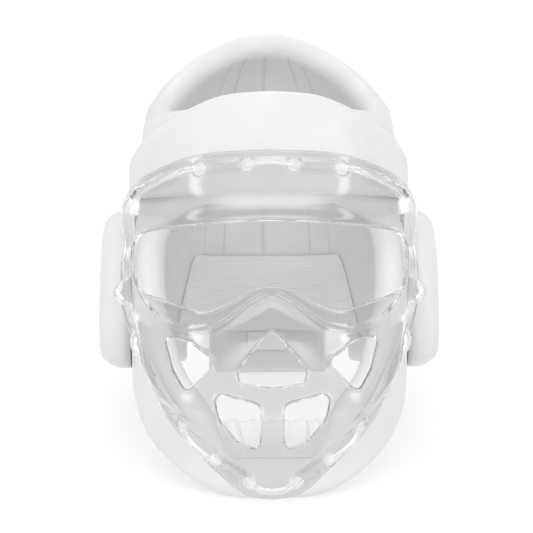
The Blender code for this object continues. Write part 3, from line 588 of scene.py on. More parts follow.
def through(ring, steps):
    """Smooth closed curve: between b and c each stretch is the Catmull-Rom cubic of a, b, c and d."""
    a, b, c, d = (np.roll(ring, -n, 0)[:, None] for n in (-1, 0, 1, 2))
    t = (np.arange(steps) / steps)[None, :, None]
    square, cube = 2 * a - 5 * b + 4 * c - d, 3 * b - a - 3 * c + d
    curve = 0.5 * (2 * b + (c - a) * t + square * t**2 + cube * t**3)
    return curve.reshape(-1, ring.shape[1])


def evenly(ring, count):
    """A closed curve divided into count equal steps along its length."""
    looped = np.concatenate([ring, ring[:1]])
    along = np.concatenate([[0], np.cumsum(np.linalg.norm(np.diff(looped, axis=0), axis=1))])
    where = np.linspace(0, along[-1], count, endpoint=False)
    return np.stack([np.interp(where, along, looped[:, n]) for n in range(3)], 1), along[-1]


def lace_route(count):
    """Even points along the lace: over the shield by its thickness, its border's step and the tube's radius,
    or under it by the radius alone."""
    right = np.array(LACE_ROUTE, float)
    ring = np.concatenate([right, right[-2:0:-1] * (-1, 1, 1)])
    clear = LACE_DIAMETER / 2 + LACE_CLEAR
    level = np.where(ring[:, 2] > 0, SHIELD_THICK + BORDER_STEP + clear, -clear)
    return evenly(through(shield_place(ring[:, 0], ring[:, 1], level), 24), count)


LACE_STEPS = 900
lace_line, lace_length = lace_route(LACE_STEPS)
print("lace", round(lace_length, 3), "m")

# %% Foam pressed down by the lace
BED_WIDTH, BED_CLEAR, BED_REACH = 0.0042, 0.0003, 0.010


def pressed(points, normals):
    """How far each point must sink for the tube to lie free: an ellipse of depth across the tube's width."""
    sink = np.zeros(len(points))
    near = distance_to(points, lace_line, np.roll(lace_line, -1, 0)) < BED_REACH
    for part in np.array_split(np.nonzero(near)[0], max(1, near.sum() // 1500)):
        gap = points[part][:, None] - lace_line
        height = (gap * normals[part][:, None]).sum(-1)
        across = np.sqrt(np.maximum((gap**2).sum(-1) - height**2, 0))
        room = (LACE_DIAMETER / 2 + BED_CLEAR) * np.sqrt(np.maximum(1 - (across / BED_WIDTH) ** 2, 0))
        sink[part] = np.where(across < BED_WIDTH, height + room, 0).max(1)
    return np.maximum(sink, 0)


# %% The foam body itself
SEAM_ANGLES, SEAM_HALF, SEAM_DEPTH = (147.0, 161.0, 181.0, 199.0, 213.0), 0.0012, 0.0005
SEAM_START, SEAM_FADE = 0.004, 0.006


def seam_mask(angle, height):
    """1 on a seam's line and 0 half a seam's width away: a cosine of the distance round the head."""
    radius = np.linalg.norm(outside(angle, height)[:, :2], axis=1) - FOAM_WALL
    away = np.min([np.abs(angle - seam) for seam in SEAM_ANGLES], axis=0) * math.radians(1) * radius
    return 0.5 + 0.5 * np.cos(np.pi * np.clip(away / SEAM_HALF, 0, 1))


def foam_body():
    """The wall: middle surface half a wall inside the foam's outside, with a quarter-round rim all round."""
    angle, height = foam_grid()
    faces = grid_quads(angle.shape[0], angle.shape[1] - 1, around=True, skip=foam_openings)
    angle, height = angle.ravel(), height.ravel()
    points, normals = outside(angle, height), outward(angle, height)
    half = FOAM_WALL / 2
    distance = edge_of(points, faces)
    swell = half * rounded(distance, half)
    seams = seam_mask(angle, height) * ease((distance - SEAM_START) / SEAM_FADE)
    sink = pressed(points - normals * (half - swell)[:, None], normals)
    top, bottom = swell - half - sink, -swell - half + SEAM_DEPTH * seams
    # the seam mask, zero on the outer skin, carries painted shade for the grooves to the finish
    masks = {"seam": np.concatenate([0 * seams, seams])}
    return body_of("foam_body", points, normals, faces, top, bottom, masks)


shell = report(foam_body())
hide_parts("headguard_shell")
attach(shell, "root")

# %% [markdown]
# ## The forehead band
#
# A raised band of the same foam goes across the brow. The top of the shield rests on it, so the band's lower
# part shows through the shield and its upper part stands free above the shield's edge.

# %% Forehead band
BAND_END_ANGLE, BAND_ROUND, BAND_CORNER, BAND_CORNER_START, BAND_WALL = 104.0, 0.0045, 0.006, 0.93, 0.25
BAND_COLUMNS, BAND_ROWS, BAND_LEAST = 150, 30, 0.0008
BAND_TOP = ((0, 0.622), (16, 0.608), (37, 0.546), (58, 0.480), (72, 0.429), (90, 0.391), (104, 0.363))


def band():
    """Patch from the band's straight lower edge to its arched top, swollen to a rounded pad."""
    width = 2 * HALF_WIDTH * math.radians(BAND_END_ANGLE)
    across = (stops(BAND_COLUMNS, width, BAND_ROUND) * 2 - 1)[:, None] * BAND_END_ANGLE
    up = stops(BAND_ROWS, smooth(0.0, BAND_TOP) * CROWN_HEIGHT - BAND_BOTTOM, BAND_ROUND)[None]
    share = np.abs(across) / BAND_END_ANGLE
    corner = BAND_CORNER * ease((share - BAND_CORNER_START) / (1 - BAND_CORNER_START))
    low = BAND_BOTTOM + corner
    heights = low + up * (smooth(np.abs(across), BAND_TOP) * CROWN_HEIGHT - corner - low)
    angles = across + 0 * up
    points, normals = outside(angles.ravel(), heights.ravel()), outward(angles.ravel(), heights.ravel())
    distance = edge_of(points, grid_quads(BAND_COLUMNS, BAND_ROWS))
    top = BAND_SEAT + BAND_THICK * swollen(distance, BAND_WALL, BAND_ROUND)
    top = np.maximum(top - pressed(points + normals * top[:, None], normals), BAND_SEAT + BAND_LEAST)
    return patch_body("brow_band", angles, heights, top.reshape(angles.shape), BAND_SEAT)


brow = report(band())
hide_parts("forehead_band")
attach(brow, "root")

# %% [markdown]
# ## The ear pads
#
# Each ear is covered by a thick oval pad with a shallow hollow in its outside. Its grid is made of rings: the
# same squared oval, shrunk step by step to the middle.

# %% Ear pads
EAR_THICK, EAR_HALF_DEPTH, EAR_HALF_HEIGHT = 0.020, 0.039, 0.051
EAR_CENTRE_BACK, EAR_CENTRE_HEIGHT, EAR_ROUND = 0.009, -0.0155, 0.011
EAR_DISH, EAR_DISH_FLAT, EAR_DISH_EDGE, EAR_CORNERS, EAR_WALL = 0.006, 0.20, 0.55, 0.72, 0.35
EAR_SKIRT, EAR_SKIRT_STEP, EAR_SKIRT_SLOPE = 0.0065, 0.0014, 0.0012
EAR_COLUMNS, EAR_FLAT_RINGS, EAR_RIM_RINGS, EAR_CAP, EAR_RIM = 168, 22, 18, 0.02, 0.74


def ear_pad(name, side):
    """Rings of a squared oval |cos|^0.72, |sin|^0.72 on the foam, swollen and dished by their distance, with
    a small step across the lower end where the skin was trimmed."""
    turn = np.linspace(0, 2 * np.pi, EAR_COLUMNS, endpoint=False)
    near_rim = np.sin(np.linspace(0.1, 1, EAR_RIM_RINGS) * np.pi / 2)
    flat_part = np.linspace(EAR_CAP, EAR_RIM, EAR_FLAT_RINGS)
    rings = np.concatenate([flat_part, EAR_RIM + (1 - EAR_RIM) * near_rim])
    s, c = np.sin(turn), np.cos(turn)
    y = np.outer(rings, EAR_HALF_DEPTH * np.sign(c) * np.abs(c) ** EAR_CORNERS).T + EAR_CENTRE_BACK
    z = np.outer(rings, EAR_HALF_HEIGHT * np.sign(s) * np.abs(s) ** EAR_CORNERS).T + EAR_CENTRE_HEIGHT
    sweep = np.linspace(40, 140, 801)
    angle = np.interp(y.ravel(), outside(sweep, EAR_CENTRE_HEIGHT + 0 * sweep)[:, 1], sweep)
    points, normals = outside(side * angle, z.ravel()), outward(side * angle, z.ravel())
    faces = grid_quads(len(turn), len(rings) - 1, around=True)
    outer = np.arange(len(turn)) * len(rings) + len(rings) - 1
    distance = distance_to(points, points[outer], points[np.roll(outer, -1)])
    back, rise = (y - EAR_CENTRE_BACK) / EAR_HALF_DEPTH, (z - EAR_CENTRE_HEIGHT) / EAR_HALF_HEIGHT
    middle = np.hypot(back, rise).ravel()
    dish = EAR_DISH * (1 - ease((middle - EAR_DISH_FLAT) / (EAR_DISH_EDGE - EAR_DISH_FLAT)))
    top = SEAT + EAR_THICK * swollen(distance, EAR_WALL, EAR_ROUND) - dish
    lower = EAR_CENTRE_HEIGHT - EAR_HALF_HEIGHT + EAR_SKIRT
    top = top - EAR_SKIRT_STEP * ease((lower - z.ravel()) / EAR_SKIRT_SLOPE)
    cap = np.arange(len(turn)) * len(rings)
    piece_faces = [*faces.tolist(), cap[::-1].tolist()]
    return rings_body(name, points, normals, piece_faces, outer, top, SEAT)


def rings_body(name, points, normals, faces, outer, top, bottom):
    """Closed body over a sheet of rings, with a wall along its outer ring."""
    count = len(points)
    skins = np.concatenate([points + normals * top[:, None], points + normals * bottom])
    walls = np.stack([outer, np.roll(outer, -1), np.roll(outer, -1) + count, outer + count], -1)
    under = [[v + count for v in reversed(face)] for face in faces]
    return make_mesh(name, skins, [*faces, *under, *walls.tolist()])


for side, hand in ((-1, "left"), (1, "right")):
    pad = report(ear_pad(f"ear_pad_{hand}", side))
    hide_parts(f"ear_guard_{hand}")
    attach(pad, "root")

# %% [markdown]
# ## The chin pad
#
# Behind the two lower vents lies a soft pad that was gathered as it was sewn, so that fine upright wrinkles
# run down from its wavy top edge, with two deeper creases.

# %% Chin pad
CHIN_PAD_THICK, CHIN_PAD_HALF_ANGLE, CHIN_PAD_TOP, CHIN_PAD_BOTTOM = 0.0035, 17.0, -0.0915, -0.115
CHIN_PAD_ROUND, CHIN_PAD_NARROW, CHIN_PAD_WALL = 0.006, 0.35, 0.35
WRINKLES = ((23.0, 0.3, 1.0), (41.0, 1.7, 0.9), (67.0, 0.9, 0.5), (11.0, 2.1, 1.2))
WRINKLE_HEIGHT = 0.00017
CREASES, CREASE_DEPTH = ((-0.57, 0.035), (0.55, 0.030)), 0.0015
PAD_COLUMNS, PAD_ROWS, PAD_TOP_ROUND, PAD_WAVE, PAD_LEAST = 300, 60, 0.0012, 0.0007, 0.04


def gathers(across, up):
    """Sum of a few sines across the pad, each leaning with height, that fade down from the top edge."""
    waves = sum(size * np.sin(count * across + phase + 3.0 * up * np.sin(5 * across) + 2.0 * up)
                for count, phase, size in WRINKLES)
    return WRINKLE_HEIGHT * waves * (0.25 + 0.75 * up**2)


def chin_cushion():
    """Patch on the chin bar, swollen to a pad that thins out sideways and downwards, with gathers and two
    creases in its front."""
    across, up = even_grid(PAD_COLUMNS, PAD_ROWS)
    narrow = 1 - CHIN_PAD_NARROW * (1 - up) ** 2
    wavy = PAD_WAVE * (np.sin(17 * across) + 0.6 * np.sin(41 * across + 1)) * up**4
    heights = CHIN_PAD_BOTTOM + up * (CHIN_PAD_TOP - PAD_TOP_ROUND - CHIN_PAD_BOTTOM) + wavy
    angles = CHIN_PAD_HALF_ANGLE * across * narrow
    swell = swollen(edge_distance(angles, heights), CHIN_PAD_WALL, CHIN_PAD_ROUND)
    swell = swell * (PAD_LEAST + (1 - PAD_LEAST) * ease(up / 0.7) * ease((1 - np.abs(across)) / 0.3))
    lean = 0.05 * np.sin(3 * up)
    crease = sum(np.exp(-(((across - place - lean) / width) ** 2)) for place, width in CREASES)
    top = SEAT + CHIN_PAD_THICK * swell + (gathers(across, up) - CREASE_DEPTH * crease) * swell
    return patch_body("chin_cushion", angles, heights, top, SEAT)


cushion = report(chin_cushion())
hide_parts("chin_pad")
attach(cushion, "root")

# %% [markdown]
# ## The nape: elastic, flap and label
#
# A wide knitted elastic closes the notch at the back and lets the guard stretch. Its ribs run round the head,
# so its surface is a sine across its height. Below it hangs a padded flap with a small bare label.

# %% Elastic panel
ELASTIC_THICK, ELASTIC_TOP, ELASTIC_BOTTOM = 0.0024, 0.009, -0.046
ELASTIC_TOP_ANGLE, ELASTIC_BOTTOM_ANGLE = 137.0, 121.0
RIB_PITCH, RIB_HEIGHT, ELASTIC_CLEAR = 0.0021, 0.00026, 0.0003
HEM_WIDTH, HEM_OUT, HEM_IN, ELASTIC_SAG, ELASTIC_CORNER = 0.004, 0.0011, 0.0009, 0.002, 0.004
ELASTIC_CORNER_START, ELASTIC_CORNER_SPAN = 0.92, 0.08
ELASTIC_COLUMNS, ELASTIC_ROWS = 120, 236


def elastic_panel():
    """Trapezoid on the inside of the foam, with ribs |sin(π·height/pitch)| on both faces. Its top edge sags
    and has rounded corners. Its hem thickens until it all but touches the foam that it is sewn to."""
    across, up = even_grid(ELASTIC_COLUMNS, ELASTIC_ROWS)
    half = 180 - (ELASTIC_BOTTOM_ANGLE + up * (ELASTIC_TOP_ANGLE - ELASTIC_BOTTOM_ANGLE))
    corner = ease((np.abs(across) - ELASTIC_CORNER_START) / ELASTIC_CORNER_SPAN)
    drop = ELASTIC_SAG * (1 - across**2) + ELASTIC_CORNER * corner
    heights = ELASTIC_BOTTOM + up * (ELASTIC_TOP - drop - ELASTIC_BOTTOM)
    rib = RIB_HEIGHT * np.abs(np.sin(np.pi * (heights - ELASTIC_BOTTOM) / RIB_PITCH))
    middle = -FOAM_WALL - SEAT - ELASTIC_CLEAR - ELASTIC_THICK / 2
    half_thick = ELASTIC_THICK / 2 - RIB_HEIGHT
    angles = 180 + across * half
    hem = 1 - ease(edge_distance(angles, heights) / HEM_WIDTH)
    outer = middle + half_thick + rib * (1 - hem) + HEM_OUT * hem
    inner = middle - (half_thick + rib) * (1 - hem) + HEM_IN * hem
    return patch_body("elastic_panel", angles, heights, outer, inner)


elastic = report(elastic_panel())
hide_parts("rear_elastic")
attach(elastic, "root")

# %% Neck flap and label
FLAP_THICK, FLAP_TOP, FLAP_BOTTOM, FLAP_HALF_ANGLE = 0.010, -0.036, -0.0755, 25.5
FLAP_ROUND, FLAP_WALL, FLAP_COLUMNS, FLAP_ROWS = 0.0045, 0.30, 110, 46
STITCH_DEPTH, STITCH_IN, STITCH_WIDTH = 0.0005, 0.0075, 0.0007
LABEL_THICK, LABEL_HALF_ANGLE, LABEL_TOP, LABEL_HEIGHT = 0.0003, 6.2, -0.0470, 0.0130
LABEL_SEAT, LABEL_COLUMNS, LABEL_ROWS = 0.0001, 60, 30
LABEL_FOLD, LABEL_FOLD_START, LABEL_FOLD_SLOPE = 0.00018, 0.86, 0.03


def nape_flap():
    """Patch at the foam's inner face, swollen to a rounded pad on both sides, with a line of stitching."""
    width = 2 * REAR_REACH * math.radians(FLAP_HALF_ANGLE)
    across = (stops(FLAP_COLUMNS, width, FLAP_ROUND) * 2 - 1)[:, None]
    up = stops(FLAP_ROWS, FLAP_TOP - FLAP_BOTTOM, FLAP_ROUND)[None]
    heights = FLAP_BOTTOM + up * (FLAP_TOP - FLAP_BOTTOM) + 0 * across
    angles = 180 + across * FLAP_HALF_ANGLE + 0 * up
    distance = edge_distance(angles, heights)
    swell = FLAP_THICK / 2 * swollen(distance, FLAP_WALL, FLAP_ROUND)
    groove = STITCH_DEPTH * np.exp(-(((distance - STITCH_IN) / STITCH_WIDTH) ** 2))
    middle = -FOAM_WALL + SEAT + FLAP_THICK / 2
    return patch_body("nape_flap", angles, heights, middle + swell - groove, middle - swell + groove)


def ribbon_label():
    """Small rectangle just inside the flap, a little raised along its folded ends."""
    across, up = even_grid(LABEL_COLUMNS, LABEL_ROWS)
    heights = LABEL_TOP - LABEL_HEIGHT * (1 - up) + 0 * across
    angles = 180 + across * LABEL_HALF_ANGLE + 0 * up
    fold = LABEL_FOLD * ease((np.abs(across) - LABEL_FOLD_START) / LABEL_FOLD_SLOPE) + 0 * up
    top = -FOAM_WALL - LABEL_SEAT
    return patch_body("ribbon_label", angles, heights, top, top - LABEL_THICK - fold)


flap = report(nape_flap())
label = report(ribbon_label())
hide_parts("neck_flap")
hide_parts("size_label")
for piece, finish in ((flap, "dipped_foam"), (label, "label_satin")):
    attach(piece, "root")

# %% [markdown]
# ## The clear shield
#
# The shield is one moulded sheet with a large eye opening, five vents and the lace's holes and slots. Cutting
# such a sheet with Boolean modifiers leaves long thin faces that clear plastic shows at once. So the sheet is
# cut in its own two parameters instead: every point gets its distance from the nearest edge, each triangle
# that crosses distance 0 is divided there, and the part outside is dropped. Dividing at a few more distances
# gives the rim the rings of points it needs to be round.

# %% Outlines of the openings
EYE_OPENING = (
    (0.00, 0.187), (0.235, 0.183), (0.476, 0.173), (0.709, 0.158), (0.838, 0.142), (0.904, 0.099),
    (0.917, 0.037), (0.901, -0.042), (0.843, -0.104), (0.672, -0.147), (0.440, -0.189), (0.287, -0.157),
    (0.142, -0.106), (0.00, -0.087),
)
CENTRE_VENT = (
    (0.0, -0.268), (0.224, -0.436), (0.206, -0.483), (0.0, -0.503), (-0.206, -0.483), (-0.224, -0.436),
)
UPPER_VENT = ((0.695, -0.293), (0.525, -0.320), (0.366, -0.403), (0.553, -0.527), (0.644, -0.429))
LOWER_VENT = ((0.378, -0.527), (0.080, -0.577), (0.082, -0.769), (0.225, -0.726), (0.342, -0.633))
VENT_ROUND, CENTRE_VENT_ROUND = 0.0045, 0.0030
LACE_HOLE, LACE_SLOT_WIDTH = 0.0085, 0.0052
LACE_HOLES = ((0.078, 0.432), (0.308, 0.416), (0.078, -0.908), (0.240, -0.815), (0.425, -0.680))
LACE_SLOTS = (
    ((0.435, 0.405), (0.800, 0.315)),
    ((0.943, 0.015), (0.943, -0.092)),
    ((0.935, -0.140), (0.800, -0.310)),
    ((0.745, -0.372), (0.665, -0.462)),
)


def eye_outline():
    """Smooth closed curve through the right half's points and their mirror images."""
    half = np.array(EYE_OPENING) * (HALF_WIDTH, CHIN_DEPTH)
    return through(np.concatenate([half, half[-2:0:-1] * (-1, 1)]), 12)


def vent_outline(corners, radius, steps=9):
    """Polygon whose corners are parabolic arcs that start radius/tan(half angle) before each corner."""
    corners = np.array(corners) * (HALF_WIDTH, CHIN_DEPTH)
    before, after = np.roll(corners, 1, 0) - corners, np.roll(corners, -1, 0) - corners
    before /= np.linalg.norm(before, axis=1, keepdims=True)
    after /= np.linalg.norm(after, axis=1, keepdims=True)
    reach = radius / np.tan(np.arccos((before * after).sum(1)) / 2)[:, None]
    a, b, c = ((corners + before * reach)[:, None], corners[:, None], (corners + after * reach)[:, None])
    t = np.linspace(0, 1, steps)[None, :, None]
    return ((1 - t) ** 2 * a + 2 * t * (1 - t) * b + t * t * c).reshape(-1, 2)


def shield_middle(angle, height):
    """Point in the middle of the sheet's thickness."""
    return off_foam(angle, height, shield_inside(angle, height) + SHIELD_THICK / 2)


def onto_shield(outline):
    """Angle and height whose point has the outline's x and z: guess, compare, correct, twenty times."""
    guess, step, correction, least_slope = 1.08 * HALF_WIDTH, 0.5, 0.8, 2e-4
    angle = np.degrees(np.arcsin(np.clip(outline[:, 0] / guess, -1, 1)))
    height = outline[:, 1].copy()
    for _ in range(20):
        here = shield_middle(angle, height)
        slope = (shield_middle(angle + step, height) - here)[:, 0] / step
        angle = angle + correction * (outline[:, 0] - here[:, 0]) / np.maximum(slope, least_slope)
        height = height + correction * (outline[:, 1] - here[:, 2])
    return np.stack([angle, height], -1)


vents = [("centre", CENTRE_VENT, CENTRE_VENT_ROUND)]
for side in (-1, 1):
    vents += [(f"upper_{side}", [(side * x, z) for x, z in UPPER_VENT], VENT_ROUND),
              (f"lower_{side}", [(side * x, z) for x, z in LOWER_VENT], VENT_ROUND)]
eye_edge = onto_shield(eye_outline())
vent_edges = {name: onto_shield(vent_outline(corners, radius)) for name, corners, radius in vents}
print(len(vent_edges), "vents, eye opening", round(np.ptp(eye_outline()[:, 0]) * 1000), "mm wide")

# %% Distances on the sheet
def inside_of(places, edge):
    """True for the places inside a closed outline: a ray to the right crosses it an odd number of times."""
    x, y = places.T[:, :, None]
    (x0, y0), (x1, y1) = edge.T, np.roll(edge, -1, 0).T
    crosses = (y0 > y) != (y1 > y)
    with np.errstate(divide="ignore", invalid="ignore"):
        at = x0 + (y - y0) / (y1 - y0) * (x1 - x0)
    return (crosses & (x < at)).sum(1) % 2 == 1


def signed(places, points, edge):
    """Distance from an opening's edge: positive on the plastic, negative in the opening."""
    line = shield_middle(edge[:, 0], edge[:, 1])
    away = distance_to(points, line, np.roll(line, -1, 0))
    return np.where(inside_of(places, edge), -away, away)


def lace_gaps(points):
    """Distance from the nearest lace hole or slot: a capsule's distance, |p - axis| - radius."""
    away = np.full(len(points), 1.0)
    for side in (-1, 1):
        holes = np.array([(side * share, level) for share, level in LACE_HOLES])
        centres = shield_place(holes[:, 0], holes[:, 1], SHIELD_THICK / 2)
        away = np.minimum(away, np.linalg.norm(points[:, None] - centres, axis=-1).min(1) - LACE_HOLE / 2)
        for start, end in LACE_SLOTS:
            t = np.linspace(0, 1, 24)
            line = shield_place(side * (start[0] + t * (end[0] - start[0])),
                                start[1] + t * (end[1] - start[1]), SHIELD_THICK / 2)
            away = np.minimum(away, distance_to(points, line[:-1], line[1:]) - LACE_SLOT_WIDTH / 2)
    return away


def sheet_border(points):
    """Distance from the outer border of the sheet."""
    angle = np.linspace(-SHIELD_SIDE_ANGLE, SHIELD_SIDE_ANGLE, 401)
    low, high = shield_border(angle)
    level = np.linspace(0, 1, 81)
    side = low[-1] + level * (high[-1] - low[-1])
    end = np.full(len(side), SHIELD_SIDE_ANGLE)
    lines = [(angle, low), (angle, high), (-end, side), (end, side)]
    away = []
    for line_angle, line_height in lines:
        line = shield_middle(line_angle, line_height)
        away.append(distance_to(points, line[:-1], line[1:]))
    return np.min(away, axis=0)


# %% Dividing triangles along a level
def divide(places, values, triangles, level):
    """Divides each triangle that a level line crosses into three, with shared new points on its edges."""
    values = {name: v.copy() for name, v in values.items()}
    edge = values["edge"]
    edge[np.abs(edge - level) < 2e-5] = level
    above = edge >= level
    count = above[triangles].sum(1)
    whole = triangles[(count == 0) | (count == 3)]
    mixed = triangles[(count == 1) | (count == 2)]
    lone_is_above = above[mixed].sum(1) == 1
    lone = np.argmax(above[mixed] == lone_is_above[:, None], axis=1)
    rows = np.arange(len(mixed))
    a, b, c = (mixed[rows, (lone + k) % 3] for k in range(3))
    pairs = np.concatenate([np.stack([a, b], -1), np.stack([a, c], -1)])
    key, back = np.unique(np.sort(pairs, 1), axis=0, return_inverse=True)
    back = back.ravel()
    p, q = key.T
    t = (level - edge[p]) / (edge[q] - edge[p])
    new = len(places) + np.arange(len(key))
    places = np.concatenate([places, places[p] + t[:, None] * (places[q] - places[p])])
    values = {name: np.concatenate([v, v[p] + t * (v[q] - v[p])]) for name, v in values.items()}
    values["edge"][new] = level
    ab, ac = new[back[: len(mixed)]], new[back[len(mixed):]]
    parts = [whole, np.stack([a, ab, ac], -1), np.stack([ab, b, c], -1), np.stack([ab, c, ac], -1)]
    triangles = np.concatenate(parts)
    distinct = (triangles[:, 0] != triangles[:, 1]) & (triangles[:, 1] != triangles[:, 2])
    return places, values, triangles[distinct & (triangles[:, 0] != triangles[:, 2])]


# %% Relief of the moulding
EYE_LIP, EYE_LIP_WIDTH = 0.0016, 0.0036
VENT_LIP, VENT_LIP_WIDTH = 0.0007, 0.0026
LEDGE = (
    (0.0, -0.098), (0.115, -0.136), (0.38, -0.249), (0.48, -0.258), (0.67, -0.227), (0.80, -0.158),
    (0.95, -0.05),
)
LEDGE_RISE, LEDGE_SHARP, LEDGE_FALL, LEDGE_FADE = 0.0046, 0.45, 0.0035, 0.026
LEDGE_END, LEDGE_END_FADE, LEDGE_TOP, LEDGE_TOP_FADE = 0.93, 0.20, 0.005, 0.012
NOSE_RIDGE, NOSE_HALF, NOSE_SIDE, NOSE_BOTTOM, NOSE_FADE = 0.0026, 0.0063, 0.021, -0.046, 0.012


def relief(points, eye, vent, border):
    """Height of the moulded detail: lips at the openings, a step at the border, a ledge and a nose ridge."""
    x, z = points[:, 0], points[:, 2]
    lip = EYE_LIP * (1 - ease(eye / EYE_LIP_WIDTH)) + VENT_LIP * (1 - ease(vent / VENT_LIP_WIDTH))
    step = BORDER_STEP * ease((border - BORDER_STEP_AT) / BORDER_STEP_WIDTH)
    share = np.abs(x) / HALF_WIDTH
    above = z - smooth(share, LEDGE) * CHIN_DEPTH
    slope = np.clip(eye / np.maximum(eye + np.maximum(above, 0), 1e-5), 0, 1)
    under = 1 - LEDGE_SHARP * ease(-above / LEDGE_FALL) - (1 - LEDGE_SHARP) * ease(-above / LEDGE_FADE)
    ledge = LEDGE_RISE * np.where(above > 0, slope, under) * ease((LEDGE_END - share) / LEDGE_END_FADE)
    ledge = ledge * ease((LEDGE_TOP - z) / LEDGE_TOP_FADE)
    ridge = NOSE_RIDGE * np.clip((NOSE_HALF + NOSE_SIDE - np.abs(x)) / NOSE_SIDE, 0, 1)
    ridge = ridge * ease(-above / NOSE_FADE) * ease((z - NOSE_BOTTOM) / NOSE_FADE)
    return lip + step + ledge + ridge


# %% The moulded sheet
RIM = SHIELD_THICK / 2
RIM_RINGS = (0.12, 0.5, 1.0)


def clear_sheet():
    """Grid of angles and shares of the height, cut at distance 0 and divided at a few distances inside it.
    The grid's diagonals are mirrored too, so that both halves catch the light alike."""
    columns, rows = 216, 128
    level = np.linspace(0, 1, rows + 1)[None]
    angles = np.linspace(-1, 1, columns + 1)[:, None] * SHIELD_SIDE_ANGLE
    low, high = shield_border(angles)
    places = np.stack([(angles + 0 * level).ravel(), (low + level * (high - low)).ravel()], -1)
    quads = grid_quads(columns, rows)
    in_left = places[quads[:, 0], 0] < -1e-6
    left, right = quads[in_left], quads[~in_left]
    triangles = np.concatenate([
        left[:, (0, 1, 2)], left[:, (0, 2, 3)], right[:, (0, 1, 3)], right[:, (1, 2, 3)],
    ])
    points = shield_middle(*places.T)
    eye = signed(places, points, eye_edge)
    vent = np.min([signed(places, points, edge) for edge in vent_edges.values()], axis=0)
    border, gaps = sheet_border(points), lace_gaps(points)
    outer = np.zeros((columns + 1, rows + 1), bool)
    outer[[0, -1]], outer[:, [0, -1]] = True, True
    border[outer.ravel()] = 0
    values = {"eye": eye, "vent": vent, "border": border, "edge": np.min([eye, vent, border, gaps], axis=0)}
    places, values, triangles = divide(places, values, triangles, 0.0)
    triangles = triangles[(values["edge"][triangles] >= 0).all(1) & (values["edge"][triangles] > 0).any(1)]
    for share in RIM_RINGS:
        places, values, triangles = divide(places, values, triangles, share * RIM)
    used, back = np.unique(triangles, return_inverse=True)
    triangles = back.reshape(-1, 3)
    places, values = places[used], {name: v[used] for name, v in values.items()}
    angle, height = places.T
    points, normals = outside(angle, height), outward(angle, height)
    raised = relief(shield_middle(angle, height), values["eye"], values["vent"], values["border"])
    middle = shield_inside(angle, height) + RIM + raised
    half = RIM * rounded(values["edge"], RIM)
    return body_of("clear_shield", points, normals, triangles, middle + half, middle - half)


shield = report(clear_sheet())
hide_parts("face_shield")
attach(shield, "root")

# %% [markdown]
# ## The lace as a tube
#
# The lace is a clear tube with a bore. Its wall is a circle carried along the route, on axes that follow the
# foam below it, and a second, smaller circle inside it faces the other way, so that the wall between the
# two bends light as a real tube does.

# %% Lace
LACE_BORE, LACE_SIDES, GUIDE_REACH = 0.0017, 20, 110.0


def carried_axes(line):
    """Axes across a closed line: one lies along the foam and the other stands up from it."""
    ahead = np.roll(line, -1, 0) - np.roll(line, 1, 0)
    ahead /= np.linalg.norm(ahead, axis=1, keepdims=True)
    up = outward(*guide_places(line))
    side = np.cross(ahead, up)
    side /= np.linalg.norm(side, axis=1, keepdims=True)
    return side, np.cross(side, ahead)


def guide_places(line):
    """Angle and height of the foam nearest each point of the line."""
    height = line[:, 2]
    angle = np.degrees(np.arctan2(line[:, 0], -line[:, 1]))
    for _ in range(12):
        here = outside(angle, height)
        angle = angle + np.degrees(np.arctan2(line[:, 0], -line[:, 1]) - np.arctan2(here[:, 0], -here[:, 1]))
    return np.clip(angle, -GUIDE_REACH, GUIDE_REACH), height


def lace_body():
    """Two tubes about the line, outer and bore, joined into one ring each and wound opposite ways."""
    line, _ = lace_route(LACE_STEPS)
    side, up = carried_axes(line)
    turn = np.linspace(0, 2 * np.pi, LACE_SIDES, endpoint=False)[None, :, None]
    rings, faces = [], []
    for radius, inward in ((LACE_DIAMETER / 2, False), (LACE_BORE / 2, True)):
        ring = line[:, None] + radius * (np.cos(turn) * side[:, None] + np.sin(turn) * up[:, None])
        rings.append(ring.reshape(-1, 3))
        i, j = np.meshgrid(np.arange(LACE_STEPS), np.arange(LACE_SIDES), indexing="ij")
        a, b = i * LACE_SIDES + j, i * LACE_SIDES + (j + 1) % LACE_SIDES
        c, d = (i + 1) % LACE_STEPS * LACE_SIDES + (j + 1) % LACE_SIDES, (i + 1) % LACE_STEPS * LACE_SIDES + j
        quads = np.stack([a, b, c, d], -1).reshape(-1, 4)
        faces.append((quads[:, ::-1] if inward else quads) + inward * LACE_STEPS * LACE_SIDES)
    return make_mesh("clear_lace", np.concatenate(rings), np.concatenate(faces).tolist())


lace = report(lace_body())
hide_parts("shield_lace")
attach(lace, "root")

# %% [markdown]
# ## Finishes
#
# Each finish is a Principled shader fed by procedural patterns. Two effects are each a node group made once:
# the fine skin of something moulded or dipped, which the foam uses, and the smudges and hairline scratches
# that handling leaves, which the foam and both clear plastics use. The groups read the object's own
# coordinates and put out only values, and each material decides what to do with them.

# %% Shared effects
def skin_group():
    """Dipped skin: soft orange peel, a fine grain and a few pinholes where bubbles burst."""
    group, given, out = group_of("dipped_skin", (("Peel", 1.0), ("Grain", 1.0)), ("Height", "Mottle"))
    where = node(group, "ShaderNodeTexCoord").outputs["Object"]
    peel = math_of(group, "MULTIPLY", noise_of(group, where, 260.0, 3.0), given.outputs["Peel"])
    grain = math_of(group, "MULTIPLY", noise_of(group, where, 1700.0, 2.0), given.outputs["Grain"])
    cells = node(group, "ShaderNodeTexVoronoi", {"Vector": where, "Scale": 150.0}).outputs["Distance"]
    pinhole = range_of(group, cells, 0.0, 0.10, -0.8, 0.0)
    height = math_of(group, "ADD", math_of(group, "MULTIPLY_ADD", grain, 0.18, peel), pinhole)
    group.links.new(height, out.inputs["Height"])
    group.links.new(noise_of(group, where, 26.0, 4.0, 0.6), out.inputs["Mottle"])
    return group


